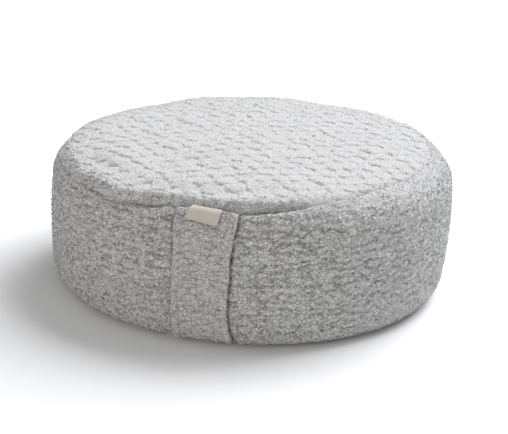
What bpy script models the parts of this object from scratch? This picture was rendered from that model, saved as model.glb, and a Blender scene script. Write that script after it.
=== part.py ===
"""Round meditation cushion with a carrying strap and a bare tab.

Metres, +Z up. The cushion rests on z = 0 with its centre on the Z axis, and the strap is on its -Y side.
A place on the cover is an azimuth and an arc. The azimuth is in degrees from the strap, turning towards +X.
The arc is the distance along the section line, from the rim of the flat base up over the side to the crown.
"""

import math

import bmesh
import bpy
import numpy as np
from mathutils import Vector

# Section of the filled body
RADIUS = 0.210
SHOULDER_HEIGHT = 0.1462
CROWN = 0.0090
SIDE_BULGE = 0.0059
LOWER_CORNER = 0.0238
UPPER_CORNER = 0.0319
SECTION_STEPS = 60

# Slightly uneven plan: waves in a turn, share of the radius, azimuth of a crest
PLAN_WAVES = ((2, 0.0059, 92.6), (3, 0.0079, 34.2))
TOP_LEAN = Vector((0.0033, 0.0008, 0.0))

# Top seam: azimuth, distance below the shoulder's upper end, channel depth, swell above it, swell below it
TOP_SEAM_ROWS = (
    (-151, 0.0180, 0.0026, 0.0002, 0.0004),
    (-111, 0.0250, 0.0026, 0.0003, 0.0002),
    (-76, 0.0300, 0.0026, 0.0004, 0.0000),
    (-52, 0.0320, 0.0032, 0.0006, 0.0000),
    (-39, 0.0300, 0.0040, 0.0012, 0.0000),
    (-29, 0.0320, 0.0046, 0.0018, 0.0000),
    (-20, 0.0250, 0.0048, 0.0018, 0.0002),
    (-10, 0.0180, 0.0048, 0.0014, 0.0000),
    (-3, 0.0145, 0.0050, 0.0012, 0.0000),
    (5, 0.0170, 0.0050, 0.0012, 0.0000),
    (11, 0.0182, 0.0052, 0.0014, 0.0006),
    (19, 0.0150, 0.0046, 0.0016, 0.0010),
    (26, 0.0110, 0.0040, 0.0012, 0.0012),
    (34, 0.0060, 0.0034, 0.0008, 0.0014),
    (44, 0.0015, 0.0028, 0.0005, 0.0014),
    (59, -0.0010, 0.0026, 0.0004, 0.0014),
    (79, 0.0025, 0.0026, 0.0004, 0.0010),
    (109, 0.0080, 0.0026, 0.0004, 0.0006),
    (149, 0.0125, 0.0026, 0.0002, 0.0004),
)
CHANNEL_HALF_WIDTH = 0.0050
SWELL_OFFSET = 0.0110
SWELL_HALF_WIDTH = 0.0075

# Bottom seam, just outside the flat base
BOTTOM_SEAM_ARC = 0.0080
BOTTOM_CHANNEL_DEPTH = 0.0020
BOTTOM_CHANNEL_HALF_WIDTH = 0.0030

# Soft lumps of the filling: length, heading, climb, height, phase
LUMPS = (
    (0.170, 20, 0.30, 0.0008, 0.4),
    (0.120, 105, 0.10, 0.0007, 2.1),
    (0.090, 160, 0.50, 0.0005, 4.0),
    (0.075, 60, 0.00, 0.0004, 1.2),
)
LUMP_FREE_HEIGHT = 0.030

# Rows of the body's mesh
TURN = 360
TURN_STEPS = 92
TURN_CROWDING = math.degrees(0.55)
BASE_RINGS = (0.0, 0.45, 0.85)
BOTTOM_RING_ARCS = (0.0, 0.0035, 0.0058)
BAND_EDGE_STEPS = (0.0025, 0.0055, 0.0095)
BAND_RINGS = 15
TOP_EDGE_STEPS = (0.0025, 0.0050, 0.0080, 0.0115, 0.0155, 0.0200, 0.0260, 0.0340)
TOP_RINGS = 7

# Strap: share of its length from the top, left edge and right edge from its centre line
STRAP_ROWS = (
    (0.00, -0.0345, 0.0335),
    (0.12, -0.0310, 0.0315),
    (0.35, -0.0293, 0.0295),
    (0.70, -0.0290, 0.0295),
    (0.88, -0.0283, 0.0305),
    (1.00, -0.0280, 0.0340),
)
STRAP_HALF_WIDTH = 0.0320
STRAP_THICKNESS = 0.0026
STRAP_FOLD_EXTRA = 0.0010
STRAP_FOLD_WIDTH = 0.0050
STRAP_FOLD_RUN = 0.0080
STRAP_GAP = 0.0005
STRAP_SLACK = 0.0010
STRAP_RIGHT_SLACK = 0.0012
STRAP_SEAM_INSET = 0.0014
STRAP_PRESS = 0.0034
STRAP_PULL_IN = 0.0018
STRAP_PULL_IN_TOP = 0.050
STRAP_PRESS_WIDTH = 0.0360
STRAP_PRESS_RUN = 0.010
STRAP_PRESS_TOP_RUN = 0.015
STRAP_COLUMNS = 16
STRAP_LENGTH_ROWS = 30

# Tab, held in the top seam
TAB_RADIUS = 0.1960
TAB_WIDTH = 0.0320
TAB_HEIGHT = 0.0180
TAB_THICKNESS = 0.0010
TAB_TILT = math.radians(7.0)
TAB_GAP = 0.0004
TAB_STAND_OFF = 0.0022
TAB_WAVE = 0.0005
TAB_WAVE_LENGTH = 0.0246
TAB_SEAM_INSET = 0.0012
TAB_COLUMNS = 10
TAB_ROWS = 8

COVER_COLOUR = (0.62, 0.62, 0.63, 1.0)
STRAP_COLOUR = (0.58, 0.58, 0.585, 1.0)
TAB_COLOUR = (0.70, 0.65, 0.57, 1.0)
CLOTH_ROUGHNESS = 0.95
MERGE_DISTANCE = 0.00001
COLUMN_SPACING = 0.001


def side_radius(height):
    """Radius of the side at a height, before its corners are rounded."""
    middle = SHOULDER_HEIGHT / 2
    return RADIUS - SIDE_BULGE * ((height - middle) / middle) ** 2


def section_line():
    """Arc, radius and height along the section, from the rim of the flat base to the crown's centre."""
    quarter = np.linspace(0, math.pi / 2, SECTION_STEPS)
    lower_centre = side_radius(LOWER_CORNER) - LOWER_CORNER
    shoulder_start = SHOULDER_HEIGHT - UPPER_CORNER
    upper_centre = side_radius(shoulder_start) - UPPER_CORNER
    side = np.linspace(LOWER_CORNER, shoulder_start, SECTION_STEPS)[1:]
    inward = np.linspace(1, 0, SECTION_STEPS)[1:]
    radius = np.concatenate(
        (
            lower_centre + LOWER_CORNER * np.sin(quarter),
            side_radius(side),
            upper_centre + UPPER_CORNER * np.cos(quarter[1:]),
            upper_centre * inward,
        )
    )
    height = np.concatenate(
        (
            LOWER_CORNER * (1 - np.cos(quarter)),
            side,
            shoulder_start + UPPER_CORNER * np.sin(quarter[1:]),
            SHOULDER_HEIGHT + CROWN * (1 - inward**2),
        )
    )
    arc = np.concatenate(((0,), np.cumsum(np.hypot(np.diff(radius), np.diff(height)))))
    return arc, radius, height


ARC, SECTION_RADIUS, SECTION_HEIGHT = section_line()
CROWN_ARC = ARC[-1]
SHOULDER_ARC = float(np.interp(0.0, SECTION_HEIGHT - SHOULDER_HEIGHT, ARC))
BASE_RADIUS = SECTION_RADIUS[0]
SLOPE_RADIUS = np.gradient(SECTION_RADIUS, ARC)
SLOPE_HEIGHT = np.gradient(SECTION_HEIGHT, ARC)


def table_value(rows, place, column, turn=None):
    """Smooth value of a table's column at a place in its first column. A turn makes the table go round."""
    places = [row[0] for row in rows]
    values = [row[column] for row in rows]
    if turn:
        place = (place - places[0]) % turn + places[0]
        places = [places[-1] - turn, *places, places[0] + turn, places[1] + turn]
        values = [values[-1], *values, values[0], values[1]]
    else:
        place = min(max(place, places[0]), places[-1])
        places = [2 * places[0] - places[1], *places, 2 * places[-1] - places[-2]]
        values = [values[0], *values, values[-1]]
    at = 1
    while at < len(places) - 3 and place > places[at + 1]:
        at += 1
    step = places[at + 1] - places[at]
    share = (place - places[at]) / step
    start_slope = (values[at + 1] - values[at - 1]) / (places[at + 1] - places[at - 1]) * step
    end_slope = (values[at + 2] - values[at]) / (places[at + 2] - places[at]) * step
    cubed, squared = share**3, share**2
    return (
        (2 * cubed - 3 * squared + 1) * values[at]
        + (cubed - 2 * squared + share) * start_slope
        + (3 * squared - 2 * cubed) * values[at + 1]
        + (cubed - squared) * end_slope
    )


def top_seam_arc(azimuth):
    return SHOULDER_ARC - table_value(TOP_SEAM_ROWS, azimuth, 1, turn=TURN)


def hump(distance, half_width):
    return math.exp(-((distance / half_width) ** 2))


def eased(share):
    share = min(max(share, 0.0), 1.0)
    return share * share * (3 - 2 * share)


def seam_relief(azimuth, arc):
    """Channel of the top seam and the rolls on its two sides."""
    away = arc - top_seam_arc(azimuth)
    depth, above, below = (table_value(TOP_SEAM_ROWS, azimuth, column, turn=TURN) for column in (2, 3, 4))
    return (
        above * hump(away - SWELL_OFFSET, SWELL_HALF_WIDTH)
        + below * hump(away + SWELL_OFFSET, SWELL_HALF_WIDTH)
        - depth * hump(away, CHANNEL_HALF_WIDTH)
    )


def filling_relief(point):
    """Soft lumps, which fade out towards the flat base."""
    total = 0.0
    for length, heading, climb, height, phase in LUMPS:
        heading = math.radians(heading)
        along = point.x * math.cos(heading) + point.y * math.sin(heading) + point.z * climb
        total += height * math.sin(2 * math.pi * along / length + phase)
    return total * eased(point.z / LUMP_FREE_HEIGHT)


def strap_press(azimuth, arc):
    """Depth to which the strap presses the side in over its width, a little more at the lower corner."""
    across = abs(math.radians(azimuth)) * RADIUS
    width = eased((STRAP_PRESS_WIDTH + STRAP_PRESS_RUN - across) / STRAP_PRESS_RUN)
    ends = eased(arc / BOTTOM_SEAM_ARC) * eased((top_seam_arc(azimuth) - arc) / STRAP_PRESS_TOP_RUN)
    pull_in = STRAP_PULL_IN * eased((STRAP_PULL_IN_TOP - arc) / STRAP_PULL_IN_TOP)
    return (STRAP_PRESS + pull_in) * width * ends


def turned(radius, height, azimuth):
    angle = math.radians(azimuth)
    plan = 1 + sum(
        share * math.cos(math.radians(waves * (azimuth - crest))) for waves, share, crest in PLAN_WAVES
    )
    place = Vector((math.sin(angle), -math.cos(angle), 0)) * (radius * plan)
    place.z = height
    return place + TOP_LEAN * (height / SHOULDER_HEIGHT)


def cover_point(azimuth, arc, lift=0.0):
    """A place on the cover, lifted off it along the section's own normal."""
    lines = (SECTION_RADIUS, SECTION_HEIGHT, SLOPE_HEIGHT, -SLOPE_RADIUS)
    radius, height, out, up = (float(np.interp(arc, ARC, line)) for line in lines)
    lift += seam_relief(azimuth, arc) + filling_relief(turned(radius, height, azimuth))
    lift -= strap_press(azimuth, arc)
    lift -= BOTTOM_CHANNEL_DEPTH * hump(arc - BOTTOM_SEAM_ARC, BOTTOM_CHANNEL_HALF_WIDTH)
    size = math.hypot(out, up)
    return turned(radius + lift * out / size, height + lift * up / size, azimuth)


def cloth_material(name, colour):
    material = bpy.data.materials.new(name)
    material.use_nodes = True
    shader = material.node_tree.nodes["Principled BSDF"]
    shader.inputs["Base Color"].default_value = colour
    shader.inputs["Roughness"].default_value = CLOTH_ROUGHNESS
    shader.inputs["Metallic"].default_value = 0.0
    material.diffuse_color = colour
    return material


def add_object(name, form, colour):
    """Turns a finished bmesh into a smooth-shaded object with its own material."""
    bmesh.ops.remove_doubles(form, verts=form.verts, dist=MERGE_DISTANCE)
    bmesh.ops.recalc_face_normals(form, faces=form.faces)
    mesh = bpy.data.meshes.new(name)
    form.to_mesh(mesh)
    form.free()
    mesh.shade_smooth()
    mesh.materials.append(cloth_material(name, colour))
    piece = bpy.data.objects.new(name, mesh)
    bpy.context.scene.collection.objects.link(piece)
    return piece


def body_rows():
    """One entry for each ring of the body: what it is measured from, and how far along."""
    rows = [("base", share) for share in BASE_RINGS]
    rows += [("bottom", arc) for arc in BOTTOM_RING_ARCS]
    rows += [("bottom", BOTTOM_SEAM_ARC + step) for step in (0.0, *BAND_EDGE_STEPS)]
    rows += [("band", (ring + 1) / (BAND_RINGS + 1)) for ring in range(BAND_RINGS)]
    rows += [("seam", -step) for step in reversed(BAND_EDGE_STEPS)]
    rows += [("seam", step) for step in (0.0, *TOP_EDGE_STEPS)]
    rows += [("top", (ring + 1) / TOP_RINGS) for ring in range(TOP_RINGS)]
    return rows


def row_arc(kind, amount, azimuth):
    seam = top_seam_arc(azimuth)
    if kind == "bottom":
        return amount
    if kind == "seam":
        return seam + amount
    if kind == "band":
        start = BOTTOM_SEAM_ARC + BAND_EDGE_STEPS[-1]
        return start + (seam - BAND_EDGE_STEPS[-1] - start) * amount
    start = seam + TOP_EDGE_STEPS[-1]
    return start + (CROWN_ARC - start) * amount


def make_body():
    """Spins a column of points into rings, crowded towards the strap, then lays each ring on the cover."""
    rows = body_rows()
    form = bmesh.new()
    row_layer = form.verts.layers.int.new("row")
    column = []
    for index in range(len(rows)):
        vert = form.verts.new((RADIUS, 0, index * COLUMN_SPACING))
        vert[row_layer] = index
        column.append(vert)
    edges = [form.edges.new(pair) for pair in zip(column, column[1:])]
    bmesh.ops.spin(
        form, geom=column + edges, cent=(0, 0, 0), axis=(0, 0, 1), angle=2 * math.pi,
        steps=TURN_STEPS, use_merge=True, use_duplicate=False,
    )
    for vert in form.verts:
        kind, amount = rows[vert[row_layer]]
        azimuth = math.degrees(math.atan2(vert.co.x, -vert.co.y))
        azimuth -= TURN_CROWDING * math.sin(math.radians(azimuth))
        if kind == "base":
            vert.co = turned(BASE_RADIUS * amount, 0.0, azimuth)
        else:
            vert.co = cover_point(azimuth, row_arc(kind, amount, azimuth))
    return add_object("cushion", form, COVER_COLOUR)


def strap_place(across, share, lift):
    """A place on the strap: across from -1 to 1, share of its length from the top."""
    left = table_value(STRAP_ROWS, share, 1)
    right = table_value(STRAP_ROWS, share, 2)
    azimuth = math.degrees(((1 - across) * left + (1 + across) * right) / 2 / RADIUS)
    top = top_seam_arc(azimuth) - STRAP_SEAM_INSET
    end = BOTTOM_SEAM_ARC + STRAP_SEAM_INSET
    slack = math.sin(math.pi * share) * (STRAP_SLACK + STRAP_RIGHT_SLACK * max(across, 0) ** 2)
    return cover_point(azimuth, top + (end - top) * share, STRAP_GAP + slack + lift)


def make_strap():
    """A grid laid on the side as the strap's inner face, thickened outwards, with fuller folded edges."""
    form = bmesh.new()
    bmesh.ops.create_grid(form, x_segments=STRAP_COLUMNS, y_segments=STRAP_LENGTH_ROWS, size=1)
    inner = {vert: (vert.co.x, (1 - vert.co.y) / 2) for vert in form.verts}
    raised = bmesh.ops.extrude_face_region(form, geom=list(form.faces), use_keep_orig=True)
    outer = [item for item in raised["geom"] if isinstance(item, bmesh.types.BMVert)]
    for vert in outer:
        across, share = vert.co.x, (1 - vert.co.y) / 2
        from_edge = (1 - abs(across)) * STRAP_HALF_WIDTH
        fold = STRAP_FOLD_EXTRA * (1 - eased((from_edge - STRAP_FOLD_WIDTH) / STRAP_FOLD_RUN))
        vert.co = strap_place(across, share, STRAP_THICKNESS + fold)
    for vert, (across, share) in inner.items():
        vert.co = strap_place(across, share, 0.0)
    return add_object("handle", form, STRAP_COLOUR)


def tab_place(across, down, lift):
    """A place on the tab: metres across from its middle and down from its sewn edge."""
    turned_across = across * math.cos(TAB_TILT) - down * math.sin(TAB_TILT)
    turned_down = across * math.sin(TAB_TILT) + down * math.cos(TAB_TILT)
    share = down / TAB_HEIGHT
    azimuth = math.degrees(turned_across / TAB_RADIUS)
    sewn_arc = top_seam_arc(0.0) - TAB_SEAM_INSET
    on_strap = STRAP_GAP + STRAP_SLACK * share + STRAP_THICKNESS
    wave = TAB_WAVE * math.sin(2 * math.pi * across / TAB_WAVE_LENGTH)
    stand_off = (TAB_STAND_OFF + wave) * eased(share)
    return cover_point(azimuth, sewn_arc - turned_down, on_strap + TAB_GAP + stand_off + lift)


def make_tab():
    form = bmesh.new()
    bmesh.ops.create_grid(form, x_segments=TAB_COLUMNS, y_segments=TAB_ROWS, size=1)
    inner = {vert: (vert.co.x * TAB_WIDTH / 2, (1 - vert.co.y) / 2 * TAB_HEIGHT) for vert in form.verts}
    raised = bmesh.ops.extrude_face_region(form, geom=list(form.faces), use_keep_orig=True)
    for vert in (item for item in raised["geom"] if isinstance(item, bmesh.types.BMVert)):
        vert.co = tab_place(vert.co.x * TAB_WIDTH / 2, (1 - vert.co.y) / 2 * TAB_HEIGHT, TAB_THICKNESS)
    for vert, (across, down) in inner.items():
        vert.co = tab_place(across, down, 0.0)
    return add_object("label", form, TAB_COLOUR)


def main():
    for piece in list(bpy.data.objects):
        bpy.data.objects.remove(piece, do_unlink=True)
    make_body()
    make_strap()
    make_tab()


main()
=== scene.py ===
"""Looks of a round meditation cushion in puffed plush cloth, with a carrying strap and a bare tab.

Metres, +Z up. The cushion rests on z = 0 with its centre on the Z axis, and the strap is on its -Y side.
A place on the cover is an azimuth and an arc. The azimuth is in degrees from the strap, turning towards +X.
The arc is the distance along the section line, from the rim of the flat base up over the side to the crown.
Arcs below zero run from that rim inwards over the flat base.
"""

import math
from functools import lru_cache

import bmesh
import bpy
import numpy as np
from bpy.props import FloatProperty, FloatVectorProperty, IntProperty, PointerProperty
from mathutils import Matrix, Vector


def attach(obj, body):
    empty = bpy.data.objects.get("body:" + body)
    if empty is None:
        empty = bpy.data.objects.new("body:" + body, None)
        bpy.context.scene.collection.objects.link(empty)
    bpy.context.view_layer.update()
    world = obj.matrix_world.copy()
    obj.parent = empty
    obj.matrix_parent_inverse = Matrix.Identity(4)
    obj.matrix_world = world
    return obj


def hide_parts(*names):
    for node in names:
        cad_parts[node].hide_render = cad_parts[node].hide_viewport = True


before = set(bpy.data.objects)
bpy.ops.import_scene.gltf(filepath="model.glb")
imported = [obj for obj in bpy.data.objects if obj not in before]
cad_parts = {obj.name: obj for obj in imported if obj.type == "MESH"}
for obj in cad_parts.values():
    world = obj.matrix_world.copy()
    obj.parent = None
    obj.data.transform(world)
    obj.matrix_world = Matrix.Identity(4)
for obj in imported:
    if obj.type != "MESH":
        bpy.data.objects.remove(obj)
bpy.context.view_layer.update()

bl_info = {
    "name": "Plush Meditation Cushion",
    "version": (1, 0, 0),
    "blender": (4, 5, 0),
    "location": "View3D > Sidebar > Cushion",
    "description": "Puffed plush cover, carrying strap and bare tab for a round meditation cushion",
    "category": "Object",
}

ROOT_BODY = "root"

# Degrees in a turn
TURN = 360

# Section of the filled body, as in the solids
RADIUS = 0.210
SHOULDER_HEIGHT = 0.1462
CROWN = 0.0090
SIDE_BULGE = 0.0059
LOWER_CORNER = 0.0238
UPPER_CORNER = 0.0319
SECTION_STEPS = 60

# Slightly uneven plan: waves in a turn, share of the radius, azimuth of a crest
PLAN_WAVES = ((2, 0.0059, 92.6), (3, 0.0079, 34.2))
TOP_LEAN = (0.0033, 0.0008, 0.0)

# Top seam: azimuth, distance below the shoulder's upper end, channel depth, swell above it, swell below it
TOP_SEAM_ROWS = (
    (-151, 0.0180, 0.0026, 0.0002, 0.0004),
    (-111, 0.0250, 0.0026, 0.0003, 0.0002),
    (-76, 0.0300, 0.0026, 0.0004, 0.0000),
    (-52, 0.0320, 0.0032, 0.0006, 0.0000),
    (-39, 0.0300, 0.0040, 0.0012, 0.0000),
    (-29, 0.0320, 0.0046, 0.0018, 0.0000),
    (-20, 0.0250, 0.0048, 0.0018, 0.0002),
    (-10, 0.0180, 0.0048, 0.0014, 0.0000),
    (-3, 0.0145, 0.0050, 0.0012, 0.0000),
    (5, 0.0170, 0.0050, 0.0012, 0.0000),
    (11, 0.0182, 0.0052, 0.0014, 0.0006),
    (19, 0.0150, 0.0046, 0.0016, 0.0010),
    (26, 0.0110, 0.0040, 0.0012, 0.0012),
    (34, 0.0060, 0.0034, 0.0008, 0.0014),
    (44, 0.0015, 0.0028, 0.0005, 0.0014),
    (59, -0.0010, 0.0026, 0.0004, 0.0014),
    (79, 0.0025, 0.0026, 0.0004, 0.0010),
    (109, 0.0080, 0.0026, 0.0004, 0.0006),
    (149, 0.0125, 0.0026, 0.0002, 0.0004),
)
CHANNEL_HALF_WIDTH = 0.0050
SWELL_OFFSET = 0.0110
SWELL_HALF_WIDTH = 0.0075
SEAM_WAVER = 0.0009
SEAM_WAVES = (0.006, 0.020)

# Bottom seam, just outside the flat base
BOTTOM_SEAM_ARC = 0.0080
BOTTOM_CHANNEL_DEPTH = 0.0020
BOTTOM_CHANNEL_HALF_WIDTH = 0.0030

# Soft lumps of the filling: length, heading, climb, height, phase
LUMPS = (
    (0.170, 20, 0.30, 0.0008, 0.4),
    (0.120, 105, 0.10, 0.0007, 2.1),
    (0.090, 160, 0.50, 0.0005, 4.0),
    (0.075, 60, 0.00, 0.0004, 1.2),
)
LUMP_FREE_HEIGHT = 0.030

# Strap: share of its length from the top, left edge and right edge from its centre line
STRAP_ROWS = (
    (0.00, -0.0335, 0.0350),
    (0.10, -0.0318, 0.0332),
    (0.25, -0.0303, 0.0300),
    (0.50, -0.0295, 0.0290),
    (0.74, -0.0292, 0.0286),
    (0.86, -0.0286, 0.0318),
    (1.00, -0.0280, 0.0360),
)
STRAP_HALF_WIDTH = 0.0320
STRAP_THICKNESS = 0.0026
STRAP_GAP = 0.0005
STRAP_SLACK = 0.0010
STRAP_RIGHT_SLACK = 0.0012
STRAP_SEAM_INSET = 0.0014
STRAP_TOP_INSET = 0.0006
STRAP_WAVER = 0.0006
STRAP_LENGTH = 0.150
STRAP_PRESS = 0.0034
STRAP_PULL_IN = 0.0018
STRAP_PULL_IN_TOP = 0.050
STRAP_PRESS_WIDTH = 0.0360
STRAP_PRESS_RUN = 0.010
STRAP_PRESS_TOP_RUN = 0.015

# Tab, held in the top seam
TAB_RADIUS = 0.1960
TAB_TILT = math.radians(7.0)
TAB_GAP = 0.0004
TAB_STAND_OFF = 0.0022
TAB_WAVE = 0.0005
TAB_WAVE_LENGTH = 0.0246
TAB_SEAM_INSET = 0.0012

MERGE_DISTANCE = 0.00001

# Clearances over the floor, and the most edges that meet at a point of a grid or its wall
FLOOR_GAP = 0.0003
BAND_FLOOR_GAP = 0.0002
GRID_LINKS = 6

# Inner wall of the side band: shares of its height, and the rows' first distance before they are placed
BAND_WALL_SHARES = (0.97, 0.5, 0.03)
BAND_ROW_STEP = 0.001

# Where grain and the painted shade of the cracks between the curls show: they fade over the shoulder, and
# more on the right
GRAIN_AND_SHADE_RIGHT_STOPS = (15, 60)
GRAIN_AND_SHADE_RIGHT_DROP = 0.016
GRAIN_AND_SHADE_RIGHT_FADE = 0.25
GRAIN_AND_SHADE_TOP = 0.018
GRAIN_AND_SHADE_RUN = 0.026

# Where the pile lies: margin over the top's edge, bare strips by the strap's edges and by the bottom seam,
# and the way over the shoulder on which the band's locks lie down
TOP_PILE_MARGIN = 0.040
BAND_PILE_MARGIN = 0.002
TOP_PILE_SCALE = 0.75
STRAP_BARE = (0.0030, 0.0036)
BOTTOM_BARE = 0.0012
LIE_DOWN_START = 0.050
LIE_DOWN_RUN = 0.040


# Form of the body


def side_radius(height):
    """Radius of the side at a height, before its corners are rounded."""
    middle = SHOULDER_HEIGHT / 2
    return RADIUS - SIDE_BULGE * ((height - middle) / middle) ** 2


def section_line():
    """Arc, radius and height along the section, from the base's centre over the side to the crown."""
    quarter = np.linspace(0, math.pi / 2, SECTION_STEPS)
    lower_centre = side_radius(LOWER_CORNER) - LOWER_CORNER
    shoulder_start = SHOULDER_HEIGHT - UPPER_CORNER
    upper_centre = side_radius(shoulder_start) - UPPER_CORNER
    side = np.linspace(LOWER_CORNER, shoulder_start, SECTION_STEPS)[1:]
    inward = np.linspace(1, 0, SECTION_STEPS)[1:]
    outward = np.linspace(0, lower_centre, SECTION_STEPS)[:-1]
    radius = np.concatenate(
        (
            outward,
            lower_centre + LOWER_CORNER * np.sin(quarter),
            side_radius(side),
            upper_centre + UPPER_CORNER * np.cos(quarter[1:]),
            upper_centre * inward,
        )
    )
    height = np.concatenate(
        (
            outward * 0,
            LOWER_CORNER * (1 - np.cos(quarter)),
            side,
            shoulder_start + UPPER_CORNER * np.sin(quarter[1:]),
            SHOULDER_HEIGHT + CROWN * (1 - inward**2),
        )
    )
    arc = np.concatenate(((0,), np.cumsum(np.hypot(np.diff(radius), np.diff(height)))))
    return arc - lower_centre, radius, height


ARC, SECTION_RADIUS, SECTION_HEIGHT = section_line()
BASE_RADIUS = -ARC[0]
CROWN_ARC = ARC[-1]
RISING = ARC >= 0
SHOULDER_ARC = float(np.interp(0.0, SECTION_HEIGHT[RISING] - SHOULDER_HEIGHT, ARC[RISING]))
SLOPE_RADIUS = np.gradient(SECTION_RADIUS, ARC)
SLOPE_HEIGHT = np.gradient(SECTION_HEIGHT, ARC)


def table_values(rows, places, column, turn=None):
    """Smooth values of a table's column at places in its first column. A turn makes the table go round."""
    table = np.array(rows, dtype=float)
    spots, values = table[:, 0], table[:, column]
    if turn:
        places = (places - spots[0]) % turn + spots[0]
        spots = np.concatenate((spots[-1:] - turn, spots, spots[:2] + turn))
        values = np.concatenate((values[-1:], values, values[:2]))
    else:
        places = np.clip(places, spots[0], spots[-1])
        spots = np.concatenate((2 * spots[:1] - spots[1:2], spots, 2 * spots[-1:] - spots[-2:-1]))
        values = np.concatenate((values[:1], values, values[-1:]))
    at = np.clip(np.searchsorted(spots, places) - 1, 1, len(spots) - 3)
    step = spots[at + 1] - spots[at]
    share = (places - spots[at]) / step
    start_slope = (values[at + 1] - values[at - 1]) / (spots[at + 1] - spots[at - 1]) * step
    end_slope = (values[at + 2] - values[at]) / (spots[at + 2] - spots[at]) * step
    cubed, squared = share**3, share**2
    return (
        (2 * cubed - 3 * squared + 1) * values[at]
        + (cubed - 2 * squared + share) * start_slope
        + (3 * squared - 2 * cubed) * values[at + 1]
        + (cubed - squared) * end_slope
    )


def top_seam_arc(azimuth):
    return SHOULDER_ARC - table_values(TOP_SEAM_ROWS, azimuth, 1, turn=TURN)


# Arc of the top seam in the middle of the strap, and the strap's run down from it
FRONT_SEAM_ARC = float(top_seam_arc(np.zeros(1))[0])
STRAP_RUN = FRONT_SEAM_ARC - BOTTOM_SEAM_ARC


def rim_points(azimuth):
    """Places in space on the rim of the plan, for a pattern that follows the azimuth."""
    return turned(np.full_like(azimuth, RADIUS), np.zeros_like(azimuth), azimuth)


def seam_line(azimuth):
    """Arc of the sewn line itself, which wavers a little in its channel."""
    return top_seam_arc(azimuth) + SEAM_WAVER * drift(rim_points(azimuth), 43, *SEAM_WAVES)


def from_strap(azimuth):
    """The azimuth as degrees to the right of the strap, or below zero to its left."""
    return (azimuth + TURN / 2) % TURN - TURN / 2


def hump(distance, half_width):
    return np.exp(-((distance / half_width) ** 2))


def humps(place, rows):
    """Sum of humps. A row is a hump's middle, half width and height."""
    return sum(height * hump(place - middle, half_width) for middle, half_width, height in rows)


def eased(share):
    share = np.clip(share, 0.0, 1.0)
    return share * share * (3 - 2 * share)


def near(distance, run):
    """Share that eases from 1 at an edge to 0 at the run's end."""
    return 1 - eased(distance / run)


def ramp(value, none, full):
    """Share that eases from 0 at one value to 1 at the other."""
    return eased((value - none) / (full - none))


def span(value, stops):
    """Share that eases in between the first two stops and out again between the last two."""
    return ramp(value, stops[0], stops[1]) * ramp(value, stops[3], stops[2])


def seam_relief(azimuth, arc):
    """Channel of the top seam and the rolls on its two sides."""
    away = arc - top_seam_arc(azimuth)
    depth, above, below = (table_values(TOP_SEAM_ROWS, azimuth, column, turn=TURN) for column in (2, 3, 4))
    return (
        above * hump(away - SWELL_OFFSET, SWELL_HALF_WIDTH)
        + below * hump(away + SWELL_OFFSET, SWELL_HALF_WIDTH)
        - depth * hump(away, CHANNEL_HALF_WIDTH)
    )


def filling_relief(points):
    """Soft lumps, which fade out towards the flat base."""
    total = 0.0
    for length, heading, climb, height, phase in LUMPS:
        heading = math.radians(heading)
        along = points[:, 0] * math.cos(heading) + points[:, 1] * math.sin(heading) + points[:, 2] * climb
        total = total + height * np.sin(2 * math.pi * along / length + phase)
    return total * eased(points[:, 2] / LUMP_FREE_HEIGHT)


def strap_press(azimuth, arc):
    """Depth to which the strap presses the side in over its width, a little more at the lower corner."""
    across = np.abs(np.radians(azimuth)) * RADIUS
    width = eased((STRAP_PRESS_WIDTH + STRAP_PRESS_RUN - across) / STRAP_PRESS_RUN)
    ends = eased(arc / BOTTOM_SEAM_ARC) * eased((top_seam_arc(azimuth) - arc) / STRAP_PRESS_TOP_RUN)
    pull_in = STRAP_PULL_IN * eased((STRAP_PULL_IN_TOP - arc) / STRAP_PULL_IN_TOP)
    return (STRAP_PRESS + pull_in) * width * ends


def plan_share(azimuth):
    """Share of the radius that the uneven plan has at an azimuth."""
    plan = 1.0
    for waves, share, crest in PLAN_WAVES:
        plan = plan + share * np.cos(np.radians(waves * (azimuth - crest)))
    return plan


def turned(radius, height, azimuth):
    """Points of the section turned about the Z axis, on the uneven plan and with the lean of the top."""
    angle = np.radians(azimuth)
    plan = plan_share(azimuth)
    lean = height / SHOULDER_HEIGHT
    x = np.sin(angle) * radius * plan + TOP_LEAN[0] * lean
    y = -np.cos(angle) * radius * plan + TOP_LEAN[1] * lean
    return np.stack((x, y, height + TOP_LEAN[2] * lean), axis=1)


def cover_points(azimuth, arc, lift=0.0):
    """Places on the cover, lifted off it along the section's own normal."""
    azimuth, arc = np.broadcast_arrays(np.asarray(azimuth, float), np.asarray(arc, float))
    lines = (SECTION_RADIUS, SECTION_HEIGHT, SLOPE_HEIGHT, -SLOPE_RADIUS)
    radius, height, out, up = (np.interp(arc, ARC, line) for line in lines)
    lift = lift + seam_relief(azimuth, arc) + filling_relief(turned(radius, height, azimuth))
    lift = lift - strap_press(azimuth, arc)
    lift = lift - BOTTOM_CHANNEL_DEPTH * hump(arc - BOTTOM_SEAM_ARC, BOTTOM_CHANNEL_HALF_WIDTH)
    size = np.hypot(out, up)
    return turned(radius + lift * out / size, height + lift * up / size, azimuth)


# Meshes and objects


def linked(name, data):
    """A new object with its data, linked to the scene."""
    made = bpy.data.objects.new(name, data)
    bpy.context.scene.collection.objects.link(made)
    return made


def new_mesh(form, name):
    """Turns a form into a mesh and frees it."""
    mesh = bpy.data.meshes.new(name)
    form.to_mesh(mesh)
    form.free()
    return mesh


def mesh_points(mesh):
    points = np.zeros(len(mesh.vertices) * 3)
    mesh.vertices.foreach_get("co", points)
    return points.reshape(-1, 3)


def set_mesh_points(mesh, points):
    mesh.vertices.foreach_set("co", np.ascontiguousarray(points, dtype=np.float32).ravel())
    mesh.update()


def mesh_normals(mesh):
    normals = np.zeros(len(mesh.vertices) * 3)
    mesh.vertices.foreach_get("normal", normals)
    return normals.reshape(-1, 3)


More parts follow.
